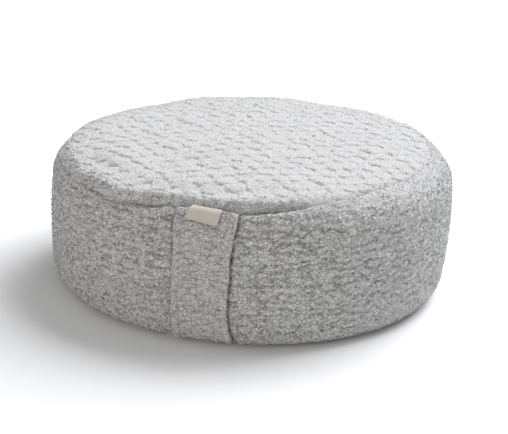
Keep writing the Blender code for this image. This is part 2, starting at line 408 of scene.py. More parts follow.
# Filling pressed out under the cover
FORM_SHRINK = 0.0030
FORM_VOXEL = 0.0060
FORM_FRAMES = 20
FORM_TURN_CELLS = 120
FORM_ARC_CELLS = 56
PINNED_HALF_WIDTH = 0.0050
PINNED_LEAST = 0.05
CLOTH_QUALITY = 5
BLUR_ROUNDS = 2
EMPTY_CELL = 1e-6


def merged_copy(node, name):
    """A copy of a CAD node's mesh with its loose triangles joined."""
    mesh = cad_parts[node].data.copy()
    mesh.name = name
    form = bmesh.new()
    form.from_mesh(mesh)
    bmesh.ops.remove_doubles(form, verts=form.verts, dist=MERGE_DISTANCE)
    form.to_mesh(mesh)
    form.free()
    return linked(name, mesh)


def places_of(points):
    """Azimuth and arc of points that lie near the cover."""
    upright = points - points[:, 2:3] / SHOULDER_HEIGHT * np.array(TOP_LEAN)
    azimuth = np.degrees(np.arctan2(upright[:, 0], -upright[:, 1]))
    radius = np.hypot(upright[:, 0], upright[:, 1]) / plan_share(azimuth)
    gap = (radius[:, None] - SECTION_RADIUS) ** 2 + (points[:, 2:3] - SECTION_HEIGHT) ** 2
    return azimuth, ARC[np.argmin(gap, axis=1)]


def pressed_form(pressure, most):
    """How far a cloth simulation of the filled cover moves its points outwards, by azimuth and arc.

    The cover is held along its seams and over its base, and is blown out between them."""
    piece = merged_copy("cushion", "filling_form")
    set_mesh_points(piece.data, mesh_points(piece.data) - FORM_SHRINK * mesh_normals(piece.data))
    bpy.context.view_layer.objects.active = piece
    remesh = piece.modifiers.new("even", "REMESH")
    remesh.mode = "VOXEL"
    remesh.voxel_size = FORM_VOXEL
    bpy.ops.object.modifier_apply(modifier=remesh.name)
    start, normals = mesh_points(piece.data), mesh_normals(piece.data)
    azimuth, arc = places_of(start)
    held = hump(arc - top_seam_arc(azimuth), PINNED_HALF_WIDTH)
    held = np.maximum(held, hump(arc - BOTTOM_SEAM_ARC, PINNED_HALF_WIDTH))
    held = np.maximum(held, (arc < BOTTOM_SEAM_ARC).astype(float))
    group = piece.vertex_groups.new(name="sewn")
    for index, weight in enumerate(held):
        if weight > PINNED_LEAST:
            group.add([index], float(weight), "REPLACE")
    cloth = piece.modifiers.new("cover", "CLOTH")
    cloth.settings.quality = CLOTH_QUALITY
    cloth.settings.use_pressure = True
    cloth.settings.uniform_pressure_force = pressure
    cloth.settings.vertex_group_mass = group.name
    cloth.settings.effector_weights.gravity = 0
    cloth.point_cache.frame_start = 1
    cloth.point_cache.frame_end = FORM_FRAMES
    scene = bpy.context.scene
    for number in range(1, FORM_FRAMES + 1):
        scene.frame_set(number)
    bpy.ops.object.modifier_apply(modifier=cloth.name)
    moved = np.einsum("ij,ij->i", mesh_points(piece.data) - start, normals)
    scene.frame_set(1)
    mesh = piece.data
    bpy.data.objects.remove(piece, do_unlink=True)
    bpy.data.meshes.remove(mesh)
    return smooth_grid(azimuth, arc, np.clip(moved, -most, most))


def smooth_grid(azimuth, arc, moved):
    """Blurred means of the moves in the cells of a grid over the azimuth and the arc."""
    total = np.zeros((FORM_TURN_CELLS, FORM_ARC_CELLS))
    count = np.full((FORM_TURN_CELLS, FORM_ARC_CELLS), EMPTY_CELL)
    column = ((azimuth % TURN) / TURN * FORM_TURN_CELLS).astype(int) % FORM_TURN_CELLS
    row = np.clip(arc / CROWN_ARC * FORM_ARC_CELLS, 0, FORM_ARC_CELLS - 1).astype(int)
    above = arc >= 0
    np.add.at(total, (column[above], row[above]), moved[above])
    np.add.at(count, (column[above], row[above]), 1.0)
    for _ in range(BLUR_ROUNDS):
        for grid in (total, count):
            grid += 0.5 * (np.roll(grid, 1, axis=0) + np.roll(grid, -1, axis=0))
            padded = np.pad(grid, ((0, 0), (1, 1)), mode="edge")
            grid += 0.5 * (padded[:, 2:] + padded[:, :-2])
    return total / count


@lru_cache(maxsize=None)
def filling_grid():
    sizes = bpy.context.scene.cushion_cover
    return pressed_form(sizes.filling_pressure, sizes.filling_reach)


def filling_lift(azimuth, arc):
    """Lift of the cover by its filling, read smoothly between the cells of the simulated form."""
    grid = filling_grid()
    x = (azimuth % TURN) / TURN * FORM_TURN_CELLS - 0.5
    y = np.clip(arc / CROWN_ARC * FORM_ARC_CELLS - 0.5, 0, FORM_ARC_CELLS - 1.001)
    left, low = np.floor(x).astype(int), np.floor(y).astype(int)
    across, up = x - left, y - low
    here, there = left % FORM_TURN_CELLS, (left + 1) % FORM_TURN_CELLS
    lower = grid[here, low] * (1 - across) + grid[there, low] * across
    upper = grid[here, low + 1] * (1 - across) + grid[there, low + 1] * across
    value = lower * (1 - up) + upper * up
    return (value - float(grid.mean())) * (arc >= 0)


# Relief of the cloth
WARP_WAVES = 9
JITTER_CELLS = 64
ROW_STEPS = (-2, -1, 0, 1, 2)
FAR = 9.0

# Wandering of the pattern: shortest and longest wave
WANDER_ACROSS = (0.028, 0.070)
WANDER_ALONG = (0.024, 0.060)
WANDER_ALONG_SHARE = 0.7
ROW_WAVES = (0.006, 0.014)
PUFF_ROW_WAVER = 0.0010
TUFT_ROW_WAVER = 0.0013
CURL_WAVES = (0.004, 0.009)
CURL_WAVER = 0.0008

# A tuft's stretch and jitter, the width of a hollow, and the hollows' depths by how many rows lie between.
# The stretch of the flat tufts is a share of their width over their height
PUFF_FORM = (1.15, 0.16, 0.50, (0.0, 0.30, 1.0))
TUFT_FORM = (0.95, 0.30, 0.36, (0.35, 1.0, 1.0))
CURL_FORM = (1.1, 0.38, 0.5, (1.0, 1.0, 1.0))
PUFF_ASPECT = math.sqrt(3)
PUFF_ROUNDNESS = 0.10
PUFF_ROUND_REACH = 1.2
CURL_ASPECT = 1.1
CURL_REACH = 0.9

# Patches in which the hollows are shallower: mean, swing, shortest and longest wave, least and most
PUFF_PATCHES = (0.86, 0.32, (0.016, 0.040), (0.35, 1))
TUFT_PATCHES = (0.78, 0.35, (0.012, 0.030), (0.2, 1))

# Painted shade in the hollows, and in the places between curls
HOLLOW_SHADE = 0.46
CURL_SHADE = 0.10


def drift(points, seed, shortest, longest):
    """Smooth wandering of a pattern, from -1 to 1 or so, by place in space."""
    draw = np.random.default_rng(seed)
    total = np.zeros(len(points))
    for _ in range(WARP_WAVES):
        heading = draw.normal(size=3)
        heading /= np.linalg.norm(heading)
        length = draw.uniform(shortest, longest)
        phase = draw.uniform(0, 2 * math.pi)
        total += np.sin(points @ heading * (2 * math.pi / length) + phase)
    return total / math.sqrt(WARP_WAVES)


def patches(points, seed, mean, swing, waves, bounds):
    """Share that changes in patches over the cloth."""
    return np.clip(mean + swing * drift(points, seed, *waves), *bounds)


def tuft_pattern(across, along, width, height, tuft_form, seed, around=None):
    """Fullness of an uneven brick pattern of tufts, and how far each place is from its tuft's middle.

    Fullness is from 0 in the hollows to 1. The distance and the width of a hollow are in row heights. The
    hollows' depths are between two tufts of one row, of neighbouring rows, and of rows two apart. Around is
    the number of tufts in a closed row."""
    stretch, jitter, edge, depths = tuft_form
    draw = np.random.default_rng(seed)
    columns = around or JITTER_CELLS
    loose = draw.uniform(-jitter, jitter, size=(JITTER_CELLS, columns, 2))
    nearest = np.full((len(ROW_STEPS), len(across)), FAR)
    second = np.full((len(ROW_STEPS), len(across)), FAR)
    row_here = np.floor(along / height).astype(int)
    for index, row_step in enumerate(ROW_STEPS):
        row = row_here + row_step
        offset = 0.5 * (row % 2)
        column_here = np.floor(across / width - offset).astype(int)
        for column_step in (-1, 0, 1):
            column = column_here + column_step
            push = loose[row % JITTER_CELLS, column % columns]
            x = (column + 0.5 + offset + push[:, 0]) * width
            y = (row + 0.5 + push[:, 1]) * height
            distance = np.hypot((across - x) / stretch, along - y) / height
            second[index] = np.minimum(second[index], np.maximum(distance, nearest[index]))
            nearest[index] = np.minimum(nearest[index], distance)
    own_row = np.argmin(nearest, axis=0)
    first = np.min(nearest, axis=0)
    hollow = np.zeros(len(across))
    for index in range(len(ROW_STEPS)):
        apart = np.abs(index - own_row)
        rival = np.where(apart == 0, second[index], nearest[index])
        depth = np.array((*depths, 0.0, 0.0))[apart]
        hollow = np.maximum(hollow, depth * (1 - eased((rival - first) / edge)))
    return 1 - hollow, first


def cloth_relief(across, along, points, sizes, mix, seed, circumference=None):
    """Relief of the puffed cloth in metres below its fullest face, and the light left by painted hollow
    shade, from 0 to 1.

    Mix is the share of the puffs, the tufts and the curls. With a circumference, the rows close round the
    cover."""
    across = across + sizes.wander * drift(points, seed + 1, *WANDER_ACROSS)
    along = along + WANDER_ALONG_SHARE * sizes.wander * drift(points, seed + 2, *WANDER_ALONG)
    row_drift = drift(points, seed + 5, *ROW_WAVES)

    def pattern(across, along, width, height, tuft_form, seed):
        """A pattern whose tufts go evenly into a closed row."""
        number = None
        if circumference is not None:
            number = round(circumference / width)
            width = circumference / number
        return tuft_pattern(across, along, width, height, tuft_form, seed, number)

    rows = along + PUFF_ROW_WAVER * row_drift
    width, height = sizes.puff_spacing * PUFF_ASPECT, sizes.puff_spacing / 2
    puff, first = pattern(across, rows, width, height, PUFF_FORM, seed + 3)
    puff = 1 - (1 - puff) * patches(points, seed + 8, *PUFF_PATCHES)
    puff = puff - PUFF_ROUNDNESS * np.minimum(first, PUFF_ROUND_REACH)

    rows = along + TUFT_ROW_WAVER * row_drift
    tuft_form = (sizes.tuft_width / sizes.tuft_height * TUFT_FORM[0], *TUFT_FORM[1:])
    tuft = pattern(across, rows, sizes.tuft_width, sizes.tuft_height, tuft_form, seed + 4)[0]
    tuft = 1 - (1 - tuft) * patches(points, seed + 9, *TUFT_PATCHES)

    columns = across + CURL_WAVER * drift(points, seed + 7, *CURL_WAVES)
    width, height = sizes.curl_spacing * CURL_ASPECT, sizes.curl_spacing
    first = pattern(columns, along, width, height, CURL_FORM, seed + 6)[1]
    curl = 1 - eased(first / CURL_REACH)

    puff_share, tuft_share, curl_share = mix
    puff_full = puff_share * sizes.puff_rise
    tuft_full = tuft_share * sizes.tuft_rise
    curl_full = curl_share * sizes.curl_rise
    relief = puff_full * puff + tuft_full * tuft + curl_full * curl - (puff_full + tuft_full + curl_full)
    # Painted shade in the hollows and between the curls
    shade = HOLLOW_SHADE * (puff_share * (1 - puff) + tuft_share * (1 - tuft)) / (puff_share + tuft_share)
    return relief, np.clip(1 - shade - CURL_SHADE * (1 - curl), 0, 1)


# Materials: scales of the pile's patterns on Object coordinates
CURL_SCALE = 222.0
BEND_SCALE = 240.0
FIBRE_SCALE = 430.0
PATCH_SCALE = 190.0
MOTTLE_SCALE = 38.0

# Flatness of the curls, and how far their edges bend
CURL_FLATNESS = (1.0, 1.0, 1.5)
CURL_BEND = (0.0030, 0.0030, 0.0030)

# Painted shade in the cracks between the curls: narrowness, fall-off, slope and cut of their patches,
# darkness
CRACK_NARROWNESS = 4.6
CRACK_POWER = 1.4
CRACK_PATCH_SLOPE = 3.2
CRACK_PATCH_CUT = 0.90
CRACK_DARKNESS = 1.35

# Weave of the tab's tape
WARP_SPACING = 0.00055
WEFT_SPACING = 0.00045
WEAVE_UNEVEN_SCALE = 900.0
WEAVE_DEPTH = 0.00012


class Shade:
    """A socket of a material's nodes. Sums on it add Math nodes."""

    def __init__(self, tree, socket):
        self.tree, self.socket = tree, socket

    def _math(self, operation, *values):
        node = self.tree.nodes.new("ShaderNodeMath")
        node.operation = operation
        for slot, value in zip(node.inputs, values):
            if isinstance(value, Shade):
                self.tree.links.new(value.socket, slot)
            else:
                slot.default_value = value
        return Shade(self.tree, node.outputs[0])

    def sine(self):
        return self._math("SINE", self)

    def between(self):
        """The value, held from 0 to 1."""
        return self._math("MINIMUM", self._math("MAXIMUM", self, 0.0), 1.0)

    def __add__(self, other):
        return self._math("ADD", self, other)

    __radd__ = __add__

    def __sub__(self, other):
        return self._math("SUBTRACT", self, other)

    def __rsub__(self, other):
        return self._math("SUBTRACT", other, self)

    def __mul__(self, other):
        return self._math("MULTIPLY", self, other)

    __rmul__ = __mul__

    def __truediv__(self, other):
        return self._math("DIVIDE", self, other)

    def __pow__(self, other):
        return self._math("POWER", self, other)


class Finish:
    """A material with one matte shader, and the nodes that feed it."""

    def __init__(self, name, colour, roughness, **constants):
        self.material = bpy.data.materials.new(name)
        self.material.use_nodes = True
        self.material.diffuse_color = (*colour, 1.0)
        self.tree = self.material.node_tree
        self.shader = self.tree.nodes["Principled BSDF"]
        self.shader.inputs["Base Color"].default_value = (*colour, 1.0)
        self.shader.inputs["Roughness"].default_value = roughness
        for socket, value in constants.items():
            self.shader.inputs[socket.replace("_", " ")].default_value = value

    def node(self, kind, output=0, settings=None, **inputs):
        """Adds a node, sets its settings first and then its sockets. Returns one of its outputs."""
        node = self.tree.nodes.new(kind)
        for key, value in (settings or {}).items():
            setattr(node, key, value)
        for key, value in inputs.items():
            slot = node.inputs[int(key[1:])] if key[0] == "i" and key[1:].isdigit() else node.inputs[key]
            if isinstance(value, Shade):
                self.tree.links.new(value.socket, slot)
            else:
                slot.default_value = value
        return Shade(self.tree, node.outputs[output])

    def vector(self, operation, **inputs):
        return self.node("ShaderNodeVectorMath", settings={"operation": operation}, **inputs)

    def place(self):
        return self.node("ShaderNodeTexCoord", output="Object")

    def noise(self, where, scale, detail, roughness=0.55):
        return self.node(
            "ShaderNodeTexNoise", output="Fac",
            Vector=where, Scale=scale, Detail=detail, Roughness=roughness,
        )

    def attribute(self, name):
        return self.node("ShaderNodeAttribute", output="Fac", settings={"attribute_name": name})

    def blend(self, share, one, two):
        """Mix of two colours by a share."""
        return self.node(
            "ShaderNodeMix", output=2, settings={"data_type": "RGBA"}, i0=share, i6=one, i7=two,
        )

    def feed(self, socket, shade):
        self.tree.links.new(shade.socket, self.shader.inputs[socket])

    def bump(self, height, depth):
        """Bump of a depth in metres. Height is a value from 0 to 1."""
        normal = self.node("ShaderNodeBump", output="Normal", Height=height, Distance=depth, Strength=1.0)
        self.feed("Normal", normal)


def opaque(colour, share=1.0):
    return tuple(part * share for part in colour) + (1.0,)


def plush_finish(name, colour, darkest_painted_shade, fibre_depth):
    """Short curly pile: rounded curls with thin cracks between them, with painted shade in cracks and
    hollows.

    One point attribute paints shade into the hollows, and another sets how far grain and painted crack shade
    show."""
    finish = Finish(name, colour, 0.95, Sheen_Weight=0.60, Sheen_Roughness=0.6, Specular_IOR_Level=0.15)
    where = finish.place()
    painted_light_value = finish.attribute("openness")
    grain = finish.attribute("grain")
    mottle = finish.noise(where, MOTTLE_SCALE, 3.0)
    fibres = finish.noise(where, FIBRE_SCALE, 3.0, 0.6)
    patchy = finish.noise(where, PATCH_SCALE, 2.0)
    push = finish.node("ShaderNodeTexNoise", output="Color", Vector=where, Scale=BEND_SCALE, Detail=1.0)
    flat = finish.vector("MULTIPLY", i0=where, i1=CURL_FLATNESS)
    bent = finish.vector("MULTIPLY_ADD", i0=push, i1=CURL_BEND, i2=flat)
    edge = finish.node(
        "ShaderNodeTexVoronoi", output="Distance", settings={"feature": "DISTANCE_TO_EDGE"},
        Vector=bent, Scale=CURL_SCALE,
    )
    crack_patches = (patchy * CRACK_PATCH_SLOPE - CRACK_PATCH_CUT).between()
    crack = (1 - edge * CRACK_NARROWNESS).between() ** CRACK_POWER * crack_patches
    # Painted shade in the hollows, down to the darkest painted shade
    body = finish.blend(painted_light_value ** 1.1 + 0.06, opaque(colour, darkest_painted_shade), opaque(colour))
    warm = tuple(part * tint for part, tint in zip(colour, (1.03, 1.0, 0.95)))
    body = finish.blend(mottle * 0.35, body, opaque(warm, 0.98))
    # Random fibre tone, and painted shade in the cracks between the curls
    light = 1 + (fibres - 0.5) * (grain * 0.28 + 0.05) - crack * grain * CRACK_DARKNESS
    finish.feed("Base Color", finish.vector("SCALE", i0=body, Scale=light))
    finish.bump(fibres * 0.25 + (edge * 3.0).between() * 0.75, fibre_depth)
    return finish.material


def tape_finish(name, colour):
    """Fine plain weave with slightly uneven threads, on the tab's own UV map."""
    finish = Finish(name, colour, 0.82, Sheen_Weight=0.10, Sheen_Roughness=0.5, Specular_IOR_Level=0.3)
    where = finish.node("ShaderNodeUVMap", settings={"uv_map": "flat"})
    parts = finish.node("ShaderNodeSeparateXYZ", Vector=where)
    across = Shade(finish.tree, parts.socket.node.outputs["X"])
    along = Shade(finish.tree, parts.socket.node.outputs["Y"])
    uneven = finish.noise(where, WEAVE_UNEVEN_SCALE, 2.0)
    warp = ((across * (2 * math.pi / WARP_SPACING)).sine() + 1) * 0.5
    weft = ((along * (2 * math.pi / WEFT_SPACING)).sine() + 1) * 0.5
    weave = warp * weft
    share = weave * 0.5 + uneven * 0.5
    finish.feed("Base Color", finish.blend(share, opaque(colour, 0.90), opaque(colour, 1.04)))
    finish.bump(weave * 0.8 + uneven * 0.2, WEAVE_DEPTH)
    return finish.material


# Pieces


def add_piece(name, mesh, material, node):
    """Links a finished mesh as a smooth piece that rides on the body and stands for a CAD node."""
    mesh.shade_smooth()
    mesh.materials.clear()
    mesh.materials.append(material)
    piece = linked(name, mesh)
    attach(piece, ROOT_BODY)
    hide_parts(node)
    return piece


def add_panel(part, mesh, points, openness, grain, fibre_depth, colours):
    """Adds a padded panel of the cover."""
    set_mesh_points(mesh, points)
    outward_faces(mesh)
    store_shares(mesh, openness, grain)
    material = plush_finish(f"plush_{part}", colours.plush, colours.darkest_painted_shade, fibre_depth)
    piece = add_piece(f"cover_{part}", mesh, material, "cushion")


def store_shares(mesh, openness, grain):
    """Stores light left by painted hollow shade and the share of grain and painted crack shade, per point or
    all over.
    """
    for name, share in (("openness", openness), ("grain", grain)):
        attribute = mesh.attributes.new(name, "FLOAT", "POINT")
        values = np.ravel(share) * np.ones(len(mesh.vertices))
        attribute.data.foreach_set("value", values.astype(np.float32))


def disc_mesh(name, cells):
    """A square grid with an inner wall from its rim to one point inside, so that it is closed.

    Returns the mesh and each point's level: 0 on the face, 1 down the wall and 2 at the point."""
    form = bmesh.new()
    depth = form.verts.layers.int.new("depth")
    bmesh.ops.create_grid(form, x_segments=cells, y_segments=cells, size=1)
    rim = [edge for edge in form.edges if edge.is_boundary]
    for level in (1, 2):
        made = bmesh.ops.extrude_edge_only(form, edges=rim)["geom"]
        rim = [item for item in made if isinstance(item, bmesh.types.BMEdge) and item.is_boundary]
        for vert in {vert for edge in rim for vert in edge.verts}:
            vert[depth] = level
    centre = list({vert for edge in rim for vert in edge.verts})
    bmesh.ops.pointmerge(form, verts=centre, merge_co=(0, 0, 0))
    for vert in form.verts:
        if len(vert.link_edges) > GRID_LINKS:
            vert[depth] = 2
    bmesh.ops.recalc_face_normals(form, faces=form.faces)
    levels = np.array([vert[depth] for vert in form.verts])
    return new_mesh(form, name), levels


def two_faced_mesh(name, columns, rows):
    """A grid and its copy on the outer side, joined all round, and which of its points are on that side."""
    form = bmesh.new()
    outer_layer = form.verts.layers.int.new("outer")
    bmesh.ops.create_grid(form, x_segments=columns, y_segments=rows, size=1)
    raised = bmesh.ops.extrude_face_region(form, geom=list(form.faces), use_keep_orig=True)
    for item in raised["geom"]:
        if isinstance(item, bmesh.types.BMVert):
            item[outer_layer] = 1
    outer = np.array([vert[outer_layer] == 1 for vert in form.verts])
    return new_mesh(form, name), outer


def disc_places(mesh):
    """Azimuth and share of the radius for the points of a square grid drawn onto a disc."""
    points = mesh_points(mesh)
    x = points[:, 0] * np.sqrt(1 - points[:, 1] ** 2 / 2)
    y = points[:, 1] * np.sqrt(1 - points[:, 0] ** 2 / 2)
    return np.degrees(np.arctan2(x, -y)), np.hypot(x, y)


def outward_faces(mesh):
    form = bmesh.new()
    form.from_mesh(mesh)
    bmesh.ops.recalc_face_normals(form, faces=form.faces)
    form.to_mesh(mesh)
    form.free()


def on_floor(points, gap):
    """The points, with those that lie below the gap over the floor raised to it."""
    points[:, 2] = np.maximum(points[:, 2], gap)
    return points


def flat_place(azimuth, distance):
    """Metres across and along a flat panel, at a distance from its middle."""
    angle = np.radians(azimuth)
    return distance * np.sin(angle), -distance * np.cos(angle)


def rotated(across, along, heading):
    return (
        across * math.cos(heading) + along * math.sin(heading),
        along * math.cos(heading) - across * math.sin(heading),
    )


def seam_tuck(distance, run, depth):
    """Cloth turned down into a seam."""
    return depth * (1 - np.clip(distance / run, 0, 1)) ** 2


# Pile
LOCK_LEVELS = 3
LOCK_SIDES = 3
LOCK_THICKNESS = (0.60, 1.0, 0.50)
LOCK_ARCH = (0.08, 0.80)
LOCK_SUNK = 0.45
LOCK_BEND = 0.22
LOCK_LENGTHS = (0.7, 1.25)
LOCK_RISES = (0.5, 1.2)
LOCK_THICKNESSES = (0.75, 1.2)
# Painted shade at a lock's root, lighter towards its tip
LOCK_SHADE = (0.95, 0.07)
PROBE = 0.0005


def lock_copies(name, count):
    """Many copies of one short three-sided tube with closed ends, all in one mesh."""
    form = bmesh.new()
    bmesh.ops.create_circle(form, cap_ends=True, radius=1, segments=LOCK_SIDES)
    cap = list(form.faces)
    for level in range(1, LOCK_LEVELS):
        raised = bmesh.ops.extrude_face_region(form, geom=cap, use_keep_orig=level == 1)["geom"]
        cap = [item for item in raised if isinstance(item, bmesh.types.BMFace)]
        verts = [item for item in raised if isinstance(item, bmesh.types.BMVert)]
        bmesh.ops.translate(form, verts=verts, vec=(0, 0, 1))
    bmesh.ops.recalc_face_normals(form, faces=form.faces)
    mesh = new_mesh(form, name)
    piece = linked(name, mesh)
    bpy.context.view_layer.objects.active = piece
    row = piece.modifiers.new("many", "ARRAY")
    row.use_relative_offset = False
    row.count = count
    bpy.ops.object.modifier_apply(modifier=row.name)
    bpy.data.objects.remove(piece, do_unlink=True)
    return mesh


def unit(vectors):
    return vectors / np.linalg.norm(vectors, axis=1, keepdims=True)


def lay_pile(name, place, spots, shares, style, sizes, seed, finish, node):
    """Lays one curly lock of pile at each spot.

    Place gives points on the cloth for its own coordinates u and v, which the spots are in. Shares are the
    light left there by painted hollow shade, and how far grain and painted crack shade show. Style is the
    locks' scale, rise, contrast and heading."""
    u, v = spots
    openness, grain = shares
    scale, lie, contrast, heading = style
    draw = np.random.default_rng(seed)
    count = len(u)
    lie = lie * np.ones(count)
    flatness = np.minimum(lie, 1.0)[:, None]
    mesh = lock_copies(name, count)
    root = place(u, v)
    along_u = unit(place(u + PROBE, v) - root)
    along_v = unit(place(u, v + PROBE) - root)
    out = unit(np.cross(along_u, along_v))
    heading = draw.normal(heading, sizes.lock_spread, count)
    heading += np.where(draw.uniform(size=count) < 0.5, math.pi, 0.0)
    ahead = along_u * np.cos(heading)[:, None] + along_v * np.sin(heading)[:, None]
    beside = np.cross(out, ahead)
    length = scale * sizes.lock_length * draw.uniform(*LOCK_LENGTHS, count)
    rise = scale * lie * sizes.lock_rise * draw.uniform(*LOCK_RISES, count)
    bend = scale * sizes.lock_length * draw.normal(0.0, LOCK_BEND, count)
    thickness = scale * sizes.lock_thickness * draw.uniform(*LOCK_THICKNESSES, count) / 2
    shade = draw.uniform(1 - contrast, 1 + contrast / 2, count)
    template = mesh_points(mesh).reshape(count, LOCK_LEVELS * LOCK_SIDES, 3)
    share = template[:, :, 2] / (LOCK_LEVELS - 1)
    girth = thickness[:, None] * np.interp(share, np.linspace(0, 1, LOCK_LEVELS), LOCK_THICKNESS)
    forward = length[:, None] * (share - 0.5)
    upward = rise[:, None] * (np.sin(math.pi * (LOCK_ARCH[0] + LOCK_ARCH[1] * share)) - LOCK_SUNK)
    sideways = bend[:, None] * (4 * (share - 0.5) ** 2 - 0.5)
    sideways += girth * template[:, :, 0]
    upward += girth * (template[:, :, 1] - 0.1) * (0.5 + flatness / 2)
    points = (
        root[:, None, :]
        + ahead[:, None, :] * forward[:, :, None]
        + out[:, None, :] * upward[:, :, None]
        + beside[:, None, :] * sideways[:, :, None]
    ).reshape(-1, 3)
    set_mesh_points(mesh, on_floor(points, FLOOR_GAP))
    height = np.clip(0.5 + upward / (rise[:, None] + thickness[:, None]), 0, 1)
    # Painted shade at each lock's root, lighter towards its tip, times the lock's own random tone
    openness = (openness * shade)[:, None] * (LOCK_SHADE[0] + LOCK_SHADE[1] * height)
    store_shares(mesh, openness, np.reshape(grain, (-1, 1)) * np.ones_like(height))
    add_piece(name, mesh, finish, node)


def halves(count):
    """Number and slice of the two pieces into which a run of locks is parted."""
    return enumerate((slice(0, count // 2), slice(count // 2, None)), start=1)


def scattered(u_range, v_range, count, seed):
    """An even scatter of about count places in a rectangle."""
    draw = np.random.default_rng(seed)
    width, height = u_range[1] - u_range[0], v_range[1] - v_range[0]
    step = math.sqrt(width * height / count)
    columns, rows = round(width / step), round(height / step)
    u, v = np.meshgrid(np.arange(columns) + 0.5, np.arange(rows) + 0.5, indexing="ij")
    u = u_range[0] + (u + draw.uniform(-0.5, 0.5, u.shape)) * width / columns
    v = v_range[0] + (v + draw.uniform(-0.5, 0.5, v.shape)) * height / rows
    order = draw.permutation(u.size)
    return u.ravel()[order], v.ravel()[order]


# Lift of the panels. Stops are degrees from the strap, between which a thing comes in and goes out again
TOP_EDGE_STOPS = (-95, -55, 20, 50)
SEAM_STOPS = (-34, -14, 50, 90)
RIGHT_ROLL_STOPS = (8, 24, 60, 84)
SEAM_PATCHES = (1, 0.40, (0.014, 0.040), (0.3, 1.4))
SEAM_LEAST = 0.20
SEAM_FRONT = 0.70
SEAM_RIGHT = 0.50
SEAM_FILL_CUT = 0.75

# Shares of the puffs, tufts and curls
TOP_MIX = (1.15, 0.10, 0.34)
TOP_EDGE_MIX = (0.80, 0.90, 0.9)
BAND_MIX = (0.35, 1.15, 0.9)
BASE_MIX = (0.5, 0.5, 0.8)
STRAP_MIX = (0.0, 0.80, 1.8)

# Top's front edge: width and fading run of its own mix, its roll and dip, and the painted shade on it
TOP_EDGE_WIDTH = 0.008
TOP_EDGE_RUN = 0.018
TOP_EDGE_ROLL = ((0.0125, 0.0080, 1.0), (0.0340, 0.0130, -0.9))
TOP_EDGE_SHADE = 0.14
TOP_CALM = 0.20
TOP_CALM_RUN = 0.020

# Painted shade along the top seam, and cloth drawn into it, both most where the band rolls over it on the
# right
PAINTED_SEAM_SHADE = 0.80
PAINTED_ROLLED_SEAM_SHADE = 0.45
PAINTED_ROLLED_SEAM_SHADE_RUN = 0.012
ROLLED_RUN = 0.0030
ROLLED_DIP = (0.0025, 0.0045, 0.0030)
ROLLED_SWELL = (0.0060, 0.0045, 0.0026)
BOTTOM_TUCK = (0.004, 0.002)

# Band: relief at the foot and over the shoulder, fade of relief and painted shade on the right, stronger
# clumps and painted shade beside the strap
LOW_CALM_RUN = 0.060
HIGH_CALM_START = 0.132
HIGH_CALM_RUN = 0.030
RIGHT_FADE_STOPS = (25, 65)
RIGHT_FADE = 0.22
CLUMP_TURN = 26
CLUMP_RELIEF = 0.25
CLUMP_SHADE = 0.30

# Beside the strap's two edges, going outwards: a slight dip with painted shade in it, and a swell of the band
STRAP_GAPS = ((-0.0008, 0.0017, 0.85), (0.0010, 0.0019, 0.85))
STRAP_SWELLS = ((-0.0070, 0.0042, 0.0012), (0.0075, 0.0045, 0.0024))
STRAP_GAP_PATCHES = (0.78, 0.60, (0.006, 0.022), (0.15, 1.15))
STRAP_GAP_DEPTH = 0.0010
STRAP_SWELL_RUN = 0.012


def seam_shows(azimuth):
    """How far the top seam shows, from 0 to 1 or so: most at the front, least on the left and behind."""
    turn = from_strap(azimuth)
    uneven = patches(rim_points(turn), 41, *SEAM_PATCHES)
    return (SEAM_LEAST + SEAM_FRONT * span(turn, SEAM_STOPS) + SEAM_RIGHT * right_roll(turn)) * uneven


def right_roll(azimuth):
    """Share to which the band rolls up over the shoulder beside the top seam, on the right."""
    return span(from_strap(azimuth), RIGHT_ROLL_STOPS)


def seam_fill(azimuth, distance, sizes):
    """Pile that fills the top seam's channel again where the seam shows less."""
    hidden = np.maximum(1 - SEAM_FILL_CUT * seam_shows(azimuth), 0)
    return sizes.seam_fill * hidden * hump(distance, CHANNEL_HALF_WIDTH)


def grain_and_crack_shade_at(azimuth, arc, sizes):
    """How far grain and painted crack shade show: most on the side, less on the right, and least on the top.
    """
    right = ramp(from_strap(azimuth), *GRAIN_AND_SHADE_RIGHT_STOPS)
    side = near(arc - SHOULDER_ARC + GRAIN_AND_SHADE_TOP + GRAIN_AND_SHADE_RIGHT_DROP * right, GRAIN_AND_SHADE_RUN)
    side = side * (1 - GRAIN_AND_SHADE_RIGHT_FADE * right)
    return sizes.top_grain + (sizes.side_grain_and_shade - sizes.top_grain) * side


